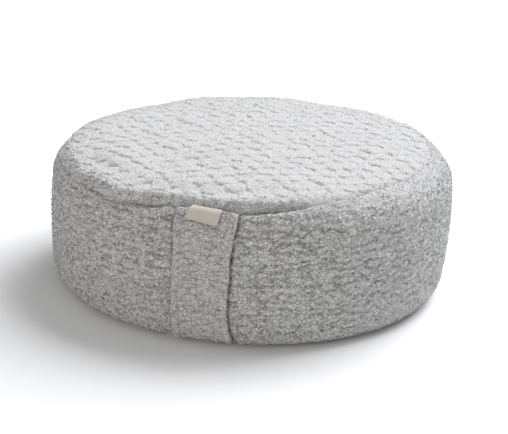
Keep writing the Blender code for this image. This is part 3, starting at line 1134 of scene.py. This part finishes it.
def top_lift(azimuth, arc, sizes):
    """Lift of the top panel's cloth, and the light left by shade painted into its hollows, front edge and
    seam.
    """
    distance = arc - seam_line(azimuth)
    across, along = rotated(*flat_place(azimuth, CROWN_ARC - arc), sizes.top_heading)
    front = span(from_strap(azimuth), TOP_EDGE_STOPS)
    edge = front * near(distance - TOP_EDGE_WIDTH, TOP_EDGE_RUN)
    mix = tuple(inner + (outer - inner) * edge for inner, outer in zip(TOP_MIX, TOP_EDGE_MIX))
    relief, openness = cloth_relief(across, along, cover_points(azimuth, arc), sizes, mix, 11)
    roll = sizes.roll_rise * front * humps(distance, TOP_EDGE_ROLL)
    calm = 1 - TOP_CALM * near(distance, TOP_CALM_RUN)
    lift = relief * calm + roll + filling_lift(azimuth, arc) + seam_fill(azimuth, distance, sizes)
    # Painted shade in the hollows, less near the seam, and more on the front edge's roll
    openness = 1 - (1 - openness) * calm - TOP_EDGE_SHADE * edge
    shows, rolled = seam_shows(azimuth), right_roll(azimuth)
    run = sizes.seam_run + ROLLED_RUN * rolled
    lift = lift - seam_tuck(distance, run, sizes.seam_depth) * shows - rolled * humps(distance, (ROLLED_DIP,))
    # Painted shade along the top seam, more where the band rolls over it
    painted_seam_shade = PAINTED_SEAM_SHADE * shows * near(distance, run) + PAINTED_ROLLED_SEAM_SHADE * rolled * near(distance, PAINTED_ROLLED_SEAM_SHADE_RUN)
    return lift, openness * np.clip(1 - painted_seam_shade, 0, 1)


def strap_edges(share):
    """Metres from the strap's centre line to its two edges, at a share of its length from the top."""
    return tuple(table_values(STRAP_ROWS, share, column) for column in (1, 2))


def beside_strap(across, edges, rows):
    """Sum of two humps, one beside each edge of the strap."""
    return sum(humps(across - edge, (row,)) for edge, row in zip(edges, rows))


def band_lift(azimuth, arc, sizes):
    """Lift of the side band's cloth, and the light left by shade painted into its hollows, seams and strap
    gaps.
    """
    turn = from_strap(azimuth)
    below, above = seam_line(azimuth) - arc, arc - BOTTOM_SEAM_ARC
    base = cover_points(azimuth, arc)
    round_way, girth = np.radians(azimuth) * RADIUS, 2 * math.pi * RADIUS
    relief, openness = cloth_relief(round_way, arc, base, sizes, BAND_MIX, 23, circumference=girth)
    fade, clumps = RIGHT_FADE * ramp(turn, *RIGHT_FADE_STOPS), hump(turn, CLUMP_TURN)
    calm = 1 - sizes.low_calm * near(arc, LOW_CALM_RUN)
    calm = calm - sizes.high_calm * eased((arc - HIGH_CALM_START) / HIGH_CALM_RUN)
    calm = calm * (1 - fade + CLUMP_RELIEF * clumps)
    lift = relief * calm + filling_lift(azimuth, arc) + seam_fill(azimuth, below, sizes)
    # Painted shade in the hollows, less on the right and more in the clumps beside the strap
    openness = 1 - (1 - openness) * (1 - fade + CLUMP_SHADE * clumps)
    shows, rolled = seam_shows(azimuth), right_roll(azimuth)
    lift = lift - seam_tuck(below, sizes.seam_run, sizes.seam_depth) * shows - seam_tuck(above, *BOTTOM_TUCK)
    lift = lift + rolled * humps(below, (ROLLED_SWELL,))
    # Painted shade along the top seam, and towards the bottom seam
    painted_seam_shade = PAINTED_SEAM_SHADE * shows * (1 - 0.5 * rolled) * near(below, sizes.seam_run)
    openness = openness * np.clip(1 - painted_seam_shade, 0, 1) * (0.4 + 0.6 * eased(above / BOTTOM_TUCK[0]))
    across = np.radians(turn) * RADIUS
    edges = strap_edges(np.clip(below / (below + above), 0, 1))
    # Painted shade in the gaps beside the strap's edges, which also dip a little
    gap = beside_strap(across, edges, STRAP_GAPS) * patches(base, 27, *STRAP_GAP_PATCHES)
    swell = beside_strap(across, edges, STRAP_SWELLS)
    swell = swell * eased(above / STRAP_SWELL_RUN) * eased(below / STRAP_SWELL_RUN)
    return lift + swell - STRAP_GAP_DEPTH * gap, openness * (1 - np.clip(gap, 0, 1))


class CUSHION_OT_top_panel(bpy.types.Operator):
    """Make the round top panel"""

    bl_idname = "cushion.top_panel"
    bl_label = "Top Panel"

    def execute(self, context):
        sizes, colours = context.scene.cushion_cover, context.scene.cushion_colours
        mesh, levels = disc_mesh("cover_top", sizes.top_cells)
        azimuth, share = disc_places(mesh)
        arc = CROWN_ARC - share * (CROWN_ARC - seam_line(azimuth))
        lift, openness = top_lift(azimuth, arc, sizes)
        points = cover_points(azimuth, arc, np.where(levels == 1, -sizes.wall, lift))
        points[levels == 2] = (0, 0, SHOULDER_HEIGHT - 2 * sizes.wall)
        grain = grain_and_crack_shade_at(azimuth, arc, sizes)
        add_panel("top", mesh, points, openness, grain, sizes.fibre_depth / 2, colours)
        return {"FINISHED"}


def top_spot(u, v):
    """Azimuth and arc of places in metres across and along the flat top panel."""
    return np.degrees(np.arctan2(u, -v)), CROWN_ARC - np.hypot(u, v)


class CUSHION_OT_top_pile(bpy.types.Operator):
    """Lay the curly pile of the top panel"""

    bl_idname = "cushion.top_pile"
    bl_label = "Top Pile"

    def execute(self, context):
        sizes, colours = context.scene.cushion_cover, context.scene.cushion_colours
        reach = CROWN_ARC - SHOULDER_ARC + TOP_PILE_MARGIN
        u, v = scattered((-reach, reach), (-reach, reach), sizes.top_locks * 4 / math.pi, 71)
        azimuth, arc = top_spot(u, v)
        openness = top_lift(azimuth, arc, sizes)[1]
        keep = (arc > seam_line(azimuth)) & (openness > sizes.bare_hollows)
        u, v, openness = u[keep], v[keep], openness[keep]
        grain = grain_and_crack_shade_at(azimuth[keep], arc[keep], sizes)

        def place(u, v):
            azimuth, arc = top_spot(u, v)
            return cover_points(azimuth, arc, top_lift(azimuth, arc, sizes)[0])

        finish = plush_finish("pile_top", colours.plush, colours.darkest_painted_shade, sizes.fibre_depth / 2)
        style = (TOP_PILE_SCALE, sizes.top_lie, sizes.top_contrast, sizes.top_heading)
        for number, part in halves(len(u)):
            spots, shares = (u[part], v[part]), (openness[part], grain[part])
            name = f"pile_top_{number}"
            lay_pile(name, place, spots, shares, style, sizes, 80 + number, finish, "cushion")
        return {"FINISHED"}


class CUSHION_OT_band_pile(bpy.types.Operator):
    """Lay the curly pile of the side band, apart from where the strap covers it"""

    bl_idname = "cushion.band_pile"
    bl_label = "Band Pile"

    def execute(self, context):
        sizes, colours = context.scene.cushion_cover, context.scene.cushion_colours
        half_turn = math.pi * RADIUS
        heights = (BOTTOM_SEAM_ARC, SHOULDER_ARC + BAND_PILE_MARGIN)
        u, v = scattered((-half_turn, half_turn), heights, sizes.band_locks, 72)
        azimuth = np.degrees(u / RADIUS)
        openness = band_lift(azimuth, v, sizes)[1]
        seam = seam_line(azimuth)
        left, right = strap_edges(np.clip((seam - v) / (seam - BOTTOM_SEAM_ARC), 0, 1))
        bare = (u > left - STRAP_BARE[0]) & (u < right + STRAP_BARE[1])
        keep = (seam > v) & (v - BOTTOM_SEAM_ARC > BOTTOM_BARE) & (openness > sizes.bare_hollows) & ~bare
        u, v, openness = u[keep], v[keep], openness[keep]
        grain = grain_and_crack_shade_at(np.degrees(u / RADIUS), v, sizes)
        upright = 0.20 + 0.80 * near(v - SHOULDER_ARC + LIE_DOWN_START, LIE_DOWN_RUN)

        def place(u, v):
            azimuth = np.degrees(u / RADIUS)
            return cover_points(azimuth, v, band_lift(azimuth, v, sizes)[0])

        finish = plush_finish("pile_band", colours.plush, colours.darkest_painted_shade, sizes.fibre_depth / 2)
        for number, part in halves(len(u)):
            spots, shares = (u[part], v[part]), (openness[part], grain[part])
            style = (1.0, upright[part], sizes.lock_contrast * upright[part], 0.0)
            name = f"pile_band_{number}"
            lay_pile(name, place, spots, shares, style, sizes, 90 + number, finish, "cushion")
        return {"FINISHED"}


class CUSHION_OT_side_band(bpy.types.Operator):
    """Make the side band between the two seams"""

    bl_idname = "cushion.side_band"
    bl_label = "Side Band"

    def execute(self, context):
        sizes, colours = context.scene.cushion_cover, context.scene.cushion_colours
        rows = sizes.band_rows
        form = bmesh.new()
        row_layer = form.verts.layers.int.new("row")
        column = []
        for index in range(rows + len(BAND_WALL_SHARES)):
            vert = form.verts.new((RADIUS, 0, index * BAND_ROW_STEP))
            vert[row_layer] = index
            column.append(vert)
        edges = [form.edges.new(pair) for pair in zip(column, column[1:] + column[:1])]
        bmesh.ops.spin(
            form, geom=column + edges, cent=(0, 0, 0), axis=(0, 0, 1), angle=2 * math.pi,
            steps=sizes.band_steps, use_merge=True, use_duplicate=False,
        )
        index = np.array([vert[row_layer] for vert in form.verts])
        mesh = new_mesh(form, "cover_band")
        spun = mesh_points(mesh)
        azimuth = np.degrees(np.arctan2(spun[:, 0], -spun[:, 1]))
        share = np.clip(index / (rows - 1), 0, 1)
        for step, wall_share in enumerate(BAND_WALL_SHARES):
            share = np.where(index == rows + step, wall_share, share)
        arc = BOTTOM_SEAM_ARC + share * (seam_line(azimuth) - BOTTOM_SEAM_ARC)
        lift, openness = band_lift(azimuth, arc, sizes)
        points = cover_points(azimuth, arc, np.where(index >= rows, -sizes.wall, lift))
        points = on_floor(points, BAND_FLOOR_GAP)
        grain = grain_and_crack_shade_at(azimuth, arc, sizes)
        add_panel("band", mesh, points, openness, grain, sizes.fibre_depth, colours)
        return {"FINISHED"}


class CUSHION_OT_base_panel(bpy.types.Operator):
    """Make the round base panel that the cushion stands on"""

    bl_idname = "cushion.base_panel"
    bl_label = "Base Panel"

    def execute(self, context):
        sizes, colours = context.scene.cushion_cover, context.scene.cushion_colours
        mesh, levels = disc_mesh("cover_base", sizes.base_cells)
        azimuth, share = disc_places(mesh)
        arc = share * (BASE_RADIUS + BOTTOM_SEAM_ARC) - BASE_RADIUS
        across, along = flat_place(azimuth, arc + BASE_RADIUS)
        relief, openness = cloth_relief(across, along, cover_points(azimuth, arc), sizes, BASE_MIX, 37)
        lift = relief - seam_tuck(BOTTOM_SEAM_ARC - arc, *BOTTOM_TUCK)
        points = cover_points(azimuth, arc, np.where(levels == 1, -sizes.wall, lift))
        points[levels == 2] = (0, 0, 2 * sizes.wall)
        points = on_floor(points, 0.0)
        add_panel("base", mesh, points, openness, sizes.side_grain_and_shade, sizes.fibre_depth, colours)
        return {"FINISHED"}


# Strap: round of its edges and of its top, calm of its hems, relief of its cloth, painted highlight on its
# hems and painted shade in their grooves
STRAP_WAVES = (0.008, 0.026)
STRAP_EDGE_ROUND = (0.0016, 0.0030)
STRAP_TOP_ROUND = (0.0030, 0.0050)
STRAP_LEAST_LIFT = 0.0005
STRAP_RELIEF = 0.8
STRAP_GRAIN_AND_SHADE = 0.85
STRAP_LIE = 0.75
STRAP_PILE_INSET = 0.0006
HEM_CALM = 0.55
HEM_LIGHT = 0.10
HEM_GROOVE_SHADE = 0.12
HEM_GROOVE_SHARE = 0.6
RIB_START = 0.35
RIB_RUN = 0.3


def strap_points(across, share, lift):
    """Places on the strap: across from -1 to 1, share of its length from the top."""
    spots = np.stack((np.zeros_like(share), np.zeros_like(share), share * STRAP_LENGTH), axis=1)
    left, right = (
        edge + STRAP_WAVER * drift(spots, seed, *STRAP_WAVES)
        for edge, seed in zip(strap_edges(share), (61, 62))
    )
    azimuth = np.degrees(((1 - across) * left + (1 + across) * right) / 2 / RADIUS)
    top = seam_line(azimuth) - STRAP_TOP_INSET
    end = BOTTOM_SEAM_ARC + STRAP_SEAM_INSET
    slack = np.sin(math.pi * share) * (STRAP_SLACK + STRAP_RIGHT_SLACK * np.maximum(across, 0) ** 2)
    return cover_points(azimuth, top + (end - top) * share, STRAP_GAP + slack + lift)


def strap_lift(across, share, sizes, cover):
    """Lift of the strap's outer face, and the light left by painted shade, with a painted highlight on its
    hems.
    """
    from_edge = (1 - np.abs(across)) * STRAP_HALF_WIDTH
    width_way = across * STRAP_HALF_WIDTH
    base = strap_points(across, share, 0.0)
    relief, openness = cloth_relief(width_way, -share * STRAP_RUN, base, cover, STRAP_MIX, 53)
    hem = near(from_edge - sizes.hem_width, sizes.hem_run)
    groove = hump(from_edge - sizes.hem_width - sizes.hem_run, sizes.hem_run * HEM_GROOVE_SHARE)
    ribs = sizes.rib_rise * np.sin(width_way * 2 * math.pi / sizes.rib_spacing)
    ribs = ribs * eased((share - RIB_START) / RIB_RUN) * (1 - hem)
    lift = STRAP_THICKNESS + sizes.hem_rise * hem - sizes.hem_groove * groove
    lift = lift + relief * (1 - HEM_CALM * hem) * STRAP_RELIEF + ribs
    for distance, (drop, run) in ((from_edge, STRAP_EDGE_ROUND), (share * STRAP_RUN, STRAP_TOP_ROUND)):
        lift = lift - drop * near(distance, run)
    # Painted highlight on the hems, painted shade in the grooves beside them and at the strap's edges
    openness = np.clip(openness + HEM_LIGHT * hem - HEM_GROOVE_SHADE * groove, 0, 1)
    return np.maximum(lift, STRAP_LEAST_LIFT), openness * eased(from_edge / 0.0015 + 0.3)


class CUSHION_OT_strap_pile(bpy.types.Operator):
    """Lay the short pile of the strap"""

    bl_idname = "cushion.strap_pile"
    bl_label = "Strap Pile"

    def execute(self, context):
        scene = context.scene
        sizes, cover, colours = scene.cushion_strap, scene.cushion_cover, scene.cushion_colours
        edge = STRAP_HALF_WIDTH - STRAP_PILE_INSET
        u, v = scattered((-edge, edge), (-STRAP_RUN + 0.002, -0.001), cover.strap_locks, 73)

        def place(u, v):
            across, share = u / STRAP_HALF_WIDTH, -v / STRAP_RUN
            return strap_points(across, share, strap_lift(across, share, sizes, cover)[0])

        openness = strap_lift(u / STRAP_HALF_WIDTH, -v / STRAP_RUN, sizes, cover)[1]
        finish = plush_finish("pile_strap", colours.strap, colours.darkest_painted_shade, cover.fibre_depth / 2)
        shares = (openness, cover.side_grain_and_shade * STRAP_GRAIN_AND_SHADE)
        style = (sizes.pile_scale, STRAP_LIE, cover.lock_contrast, 0.0)
        lay_pile("pile_strap", place, (u, v), shares, style, cover, 95, finish, "handle")
        return {"FINISHED"}


class CUSHION_OT_strap(bpy.types.Operator):
    """Make the carrying strap with its turned edges"""

    bl_idname = "cushion.strap"
    bl_label = "Carrying Strap"

    def execute(self, context):
        scene = context.scene
        sizes, cover, colours = scene.cushion_strap, scene.cushion_cover, scene.cushion_colours
        mesh, outer = two_faced_mesh("strap", sizes.columns, sizes.rows)
        flat = mesh_points(mesh)
        across, share = flat[:, 0], (1 - flat[:, 1]) / 2
        lift, openness = strap_lift(across, share, sizes, cover)
        points = strap_points(across, share, np.where(outer, lift, 0.0))
        set_mesh_points(mesh, on_floor(points, FLOOR_GAP))
        outward_faces(mesh)
        store_shares(mesh, openness, cover.side_grain_and_shade * STRAP_GRAIN_AND_SHADE)
        material = plush_finish("plush_strap", colours.strap, colours.darkest_painted_shade, cover.fibre_depth)
        piece = add_piece("strap", mesh, material, "handle")
        return {"FINISHED"}


def tab_points(across, down, height, lift):
    """Places on the tab: metres across from its middle and down from its sewn edge."""
    turned_across = across * math.cos(TAB_TILT) - down * math.sin(TAB_TILT)
    turned_down = across * math.sin(TAB_TILT) + down * math.cos(TAB_TILT)
    share = down / height
    on_strap = STRAP_GAP + STRAP_SLACK * share + STRAP_THICKNESS
    wave = TAB_WAVE * np.sin(2 * math.pi * across / TAB_WAVE_LENGTH)
    stand_off = (TAB_STAND_OFF + wave) * eased(share)
    arc = FRONT_SEAM_ARC - TAB_SEAM_INSET - turned_down
    return cover_points(np.degrees(turned_across / TAB_RADIUS), arc, on_strap + TAB_GAP + stand_off + lift)


class CUSHION_OT_tab(bpy.types.Operator):
    """Make the bare tab, a short tape sewn into the top seam"""

    bl_idname = "cushion.tab"
    bl_label = "Sewn-In Tab"

    def execute(self, context):
        sizes, colours = context.scene.cushion_tab, context.scene.cushion_colours
        mesh, outer = two_faced_mesh("tab", sizes.columns, sizes.rows)
        flat = mesh_points(mesh)
        across = flat[:, 0] * sizes.width / 2
        down = (1 - flat[:, 1]) / 2 * sizes.height
        uv = mesh.uv_layers.new(name="flat")
        corners = np.zeros(len(mesh.loops), dtype=np.int32)
        mesh.loops.foreach_get("vertex_index", corners)
        uv.data.foreach_set("uv", np.stack((across, down), axis=1)[corners].astype(np.float32).ravel())
        set_mesh_points(mesh, tab_points(across, down, sizes.height, np.where(outer, sizes.thickness, 0.0)))
        outward_faces(mesh)
        piece = add_piece("tab", mesh, tape_finish("cream_tape", colours.tab), "label")
        return {"FINISHED"}


class CUSHION_OT_stage(bpy.types.Operator):
    """Make the pale floor, the soft lights and the camera"""

    bl_idname = "cushion.stage"
    bl_label = "Stage"

    def execute(self, context):
        stage = context.scene.cushion_stage
        form = bmesh.new()
        bmesh.ops.create_grid(form, x_segments=1, y_segments=1, size=stage.floor_size / 2)
        mesh = new_mesh(form, "floor")
        mesh.materials.append(Finish("pale_floor", stage.floor_colour, 0.9, Specular_IOR_Level=0.0).material)
        linked("floor", mesh)
        for name in ("overhead", "fill"):
            add_area_light(name, *(getattr(stage, f"{name}_{key}") for key in LIGHT_KEYS))
        white_world(context.scene, stage.sky_strength)
        add_camera(context.scene)
        context.scene.view_settings.view_transform = "Standard"
        return {"FINISHED"}


LIGHT_KEYS = ("place", "aim", "size", "power", "colour")


def add_area_light(name, place, aim, size, power, colour):
    data = bpy.data.lights.new(name, "AREA")
    data.shape = "SQUARE"
    data.size = size
    data.energy = power
    data.color = colour
    light = linked(name, data)
    light.location = place
    light.rotation_euler = (Vector(aim) - Vector(place)).to_track_quat("-Z", "Y").to_euler()


def white_world(scene, strength):
    """Plain white all round, dimmer as a light than as the picture's background."""
    world = bpy.data.worlds.new("studio")
    world.use_nodes = True
    scene.world = world
    tree = world.node_tree
    background = tree.nodes["Background"]
    background.inputs["Color"].default_value = (1.0, 1.0, 1.0, 1.0)
    rays = tree.nodes.new("ShaderNodeLightPath")
    level = tree.nodes.new("ShaderNodeMix")
    level.inputs[2].default_value = strength
    level.inputs[3].default_value = 1.0
    tree.links.new(rays.outputs["Is Camera Ray"], level.inputs[0])
    tree.links.new(level.outputs[0], background.inputs["Strength"])


# Camera, as fitted to the photograph's outline
CAMERA_AZIMUTH = math.radians(13.5)
CAMERA_ELEVATION = 0.3491
CAMERA_DISTANCE = 1.9425
CAMERA_TARGET = (0.0, 0.0, 0.0731)
CAMERA_FOCAL_PIXELS = 1828.9
CAMERA_ROLL = 0.0341
FRAME_PIXELS = (508, 434)
FRAME_CENTRE = (250.4, 209.6)
SENSOR_WIDTH = 36.0


def add_camera(scene):
    data = bpy.data.cameras.new("camera")
    data.sensor_fit = "HORIZONTAL"
    data.sensor_width = SENSOR_WIDTH
    data.lens = CAMERA_FOCAL_PIXELS * SENSOR_WIDTH / FRAME_PIXELS[0]
    data.shift_x = (FRAME_PIXELS[0] / 2 - FRAME_CENTRE[0]) / FRAME_PIXELS[0]
    data.shift_y = (FRAME_CENTRE[1] - FRAME_PIXELS[1] / 2) / FRAME_PIXELS[0]
    data.clip_end = 100.0
    camera = linked("camera", data)
    target = Vector(CAMERA_TARGET)
    level = math.cos(CAMERA_ELEVATION) * CAMERA_DISTANCE
    camera.location = target + Vector(
        (
            math.sin(CAMERA_AZIMUTH) * level,
            -math.cos(CAMERA_AZIMUTH) * level,
            math.sin(CAMERA_ELEVATION) * CAMERA_DISTANCE,
        )
    )
    camera.rotation_euler = (target - camera.location).to_track_quat("-Z", "Y").to_euler()
    camera.rotation_euler.rotate_axis("Z", CAMERA_ROLL)
    scene.camera = camera


# Settings


def length_property(name, description, default):
    return FloatProperty(name=name, description=description, default=default, unit="LENGTH")


def number_property(name, description, default):
    return FloatProperty(name=name, description=description, default=default)


def count_property(name, description, default):
    return IntProperty(name=name, description=description, default=default)


def place_property(name, description, default):
    return FloatVectorProperty(name=name, description=description, default=default, unit="LENGTH")


def power_property(name, description, default):
    return FloatProperty(name=name, description=description, default=default, unit="POWER")


def colour_property(name, description, default):
    return FloatVectorProperty(
        name=name, description=description, default=default, size=3, subtype="COLOR", min=0, max=1,
    )


class CoverSizes(bpy.types.PropertyGroup):
    """Sizes of the cover's panels and of their puffed cloth"""

    puff_spacing: length_property("Puff Spacing", "Distance between puffs", 0.0195)
    puff_rise: length_property("Puff Rise", "Height of a puff", 0.0025)
    tuft_width: length_property("Tuft Width", "Width of a tuft", 0.0190)
    tuft_height: length_property("Tuft Height", "Row height of the tufts", 0.0070)
    tuft_rise: length_property("Tuft Rise", "How far a tuft stands out", 0.0030)
    curl_spacing: length_property("Curl Spacing", "Distance between curls", 0.0042)
    curl_rise: length_property("Curl Rise", "How far a curl stands out", 0.0007)
    wander: length_property("Wander", "How far the pattern wanders", 0.0026)
    fibre_depth: length_property("Fibre Depth", "Depth of the loose fibres", 0.0009)
    top_heading: FloatProperty(
        name="Top Heading", description="Heading of the top panel's rows", default=math.radians(-8.5),
        unit="ROTATION",
    )
    low_calm: number_property("Low Calm", "Share of relief lost at the foot", 0.35)
    high_calm: number_property("High Calm", "Share of relief lost over the shoulder", 0.45)
    seam_run: length_property("Seam Run", "Width of cloth turned into a seam", 0.0030)
    seam_depth: length_property("Seam Depth", "Depth of the turned cloth", 0.0017)
    seam_fill: length_property("Seam Fill", "Pile that fills the seam's channel", 0.0038)
    lock_length: length_property("Lock Length", "Length of a lock of pile", 0.0032)
    lock_rise: length_property("Lock Rise", "How far a lock stands out", 0.0006)
    lock_thickness: length_property("Lock Thickness", "Thickness of a lock", 0.0014)
    lock_spread: number_property("Lock Spread", "Spread of the locks' headings", 0.9)
    lock_contrast: number_property("Lock Contrast", "Difference between the locks' shades", 0.09)
    top_contrast: number_property("Top Contrast", "The same on the top panel", 0.07)
    side_grain_and_shade: number_property("Side Grain", "How far cracks show on the side", 0.56)
    top_grain: number_property("Top Grain", "How far cracks show on the top", 0.11)
    top_lie: number_property("Top Lie", "Rise of the top's locks, as a share of the band's", 0.30)
    top_locks: count_property("Top Locks", "Locks of pile on the top panel", 14500)
    band_locks: count_property("Band Locks", "Locks of pile on the side band", 25500)
    strap_locks: count_property("Strap Locks", "Locks of pile on the strap", 4800)
    bare_hollows: number_property("Bare Hollows", "Openness below which no lock lies", 0.60)
    roll_rise: length_property("Roll Rise", "Swell of the top's front edge", 0.0034)
    wall: length_property("Wall", "Depth of a panel's inner wall", 0.0120)
    fill: FloatProperty(name="Fill", description="How tight the filling is", default=0.85, min=0, max=1)
    filling_pressure: number_property("Filling Pressure", "Pressure of the filling", 4.0)
    filling_reach: length_property("Filling Reach", "Most that the filling moves the cover", 0.0020)
    top_cells: count_property("Top Cells", "Cells across the top panel", 250)
    band_rows: count_property("Band Rows", "Rows of the side band", 92)
    band_steps: count_property("Band Steps", "Steps of the side band round the cushion", 760)
    base_cells: count_property("Base Cells", "Cells across the base panel", 120)


class StrapSizes(bpy.types.PropertyGroup):
    """Sizes of the carrying strap"""

    flat_width: length_property("Width", "Width of the flat strap", 0.0600)
    flat_length: length_property("Length", "Length of the flat strap", 0.1500)
    hem_width: length_property("Hem Width", "Width of a turned edge", 0.0055)
    hem_run: length_property("Hem Slope", "Width of the hem's slope", 0.0028)
    hem_rise: length_property("Hem Rise", "Extra thickness of a hem", 0.0007)
    hem_groove: length_property("Hem Groove", "Groove beside a hem", 0.0003)
    rib_rise: length_property("Rib Rise", "Rise of the faint ribs", 0.00022)
    rib_spacing: length_property("Rib Spacing", "Distance between ribs", 0.0072)
    pile_scale: number_property("Pile Scale", "Size of its pile against the cover's", 0.95)
    columns: count_property("Columns", "Cells across the strap", 60)
    rows: count_property("Rows", "Cells along the strap", 140)


class TabSizes(bpy.types.PropertyGroup):
    """Sizes of the bare tab"""

    width: length_property("Width", "Width of the tab", 0.0320)
    height: length_property("Height", "Height of the tab", 0.0180)
    thickness: length_property("Thickness", "Thickness of the tape", 0.0010)
    columns: count_property("Columns", "Cells across the tab", 48)
    rows: count_property("Rows", "Cells down the tab", 24)


class Colours(bpy.types.PropertyGroup):
    """Colours of the cloth"""

    plush: colour_property("Plush", "Colour of the cover's pile", (0.625, 0.62, 0.615))
    strap: colour_property("Strap", "Colour of the strap", (0.72, 0.71, 0.70))
    tab: colour_property("Tab", "Colour of the tab", (0.59, 0.54, 0.47))
    # Brightness left in the deepest painted shade of the hollows and seams
    darkest_painted_shade: number_property("Hollow Share", "Brightness left in a seam", 0.42)


class StageSettings(bpy.types.PropertyGroup):
    """Floor and lights"""

    floor_colour: colour_property("Floor", "Colour of the floor", (0.93, 0.93, 0.93))
    floor_size: length_property("Floor Size", "Side of the floor", 14.0)
    overhead_place: place_property("Overhead Place", "Place of the overhead light", (1.1, 1.6, 2.4))
    overhead_aim: place_property("Overhead Aim", "Point that it faces", (0.0, 0.0, 0.1))
    overhead_size: length_property("Overhead Size", "Side of it", 2.4)
    overhead_power: power_property("Overhead Power", "Power of it", 136.0)
    overhead_colour: colour_property("Overhead Colour", "Colour of it", (0.935, 0.955, 1.0))
    fill_colour: colour_property("Fill Colour", "Colour of the fill light", (1.0, 0.98, 0.95))
    fill_place: place_property("Fill Place", "Place of the fill light", (-0.6, -2.8, 1.1))
    fill_aim: place_property("Fill Aim", "Point that it faces", (0, 0, 0.05))
    fill_size: length_property("Fill Size", "Side of it", 2.0)
    fill_power: power_property("Fill Power", "Power of it", 25.0)
    sky_strength: number_property("Sky", "Light from all round", 0.32)


class CUSHION_PT_panel(bpy.types.Panel):
    """Lists the cushion's pieces and their sizes"""

    bl_idname = "CUSHION_PT_panel"
    bl_label = "Meditation Cushion"
    bl_space_type = "VIEW_3D"
    bl_region_type = "UI"
    bl_category = "Cushion"

    def draw(self, context):
        for operator in OPERATORS:
            self.layout.operator(operator.bl_idname)
        for name, group in SETTINGS.items():
            box = self.layout.box()
            box.label(text=group.__doc__)
            for key in group.__annotations__:
                box.prop(getattr(context.scene, name), key)


OPERATORS = (
    CUSHION_OT_top_panel,
    CUSHION_OT_top_pile,
    CUSHION_OT_side_band,
    CUSHION_OT_band_pile,
    CUSHION_OT_base_panel,
    CUSHION_OT_strap,
    CUSHION_OT_strap_pile,
    CUSHION_OT_tab,
    CUSHION_OT_stage,
)
SETTINGS = {
    "cushion_cover": CoverSizes,
    "cushion_strap": StrapSizes,
    "cushion_tab": TabSizes,
    "cushion_colours": Colours,
    "cushion_stage": StageSettings,
}


def register():
    for item in (*SETTINGS.values(), *OPERATORS, CUSHION_PT_panel):
        bpy.utils.register_class(item)
    for name, group in SETTINGS.items():
        setattr(bpy.types.Scene, name, PointerProperty(type=group))


def unregister():
    for name in SETTINGS:
        delattr(bpy.types.Scene, name)
    for item in reversed((*SETTINGS.values(), *OPERATORS, CUSHION_PT_panel)):
        bpy.utils.unregister_class(item)


def main():
    register()
    bpy.ops.cushion.top_panel()
    bpy.ops.cushion.top_pile()
    bpy.ops.cushion.side_band()
    bpy.ops.cushion.band_pile()
    bpy.ops.cushion.base_panel()
    bpy.ops.cushion.strap()
    bpy.ops.cushion.strap_pile()
    bpy.ops.cushion.tab()
    bpy.ops.cushion.stage()


if __name__ == "__main__":
    main()
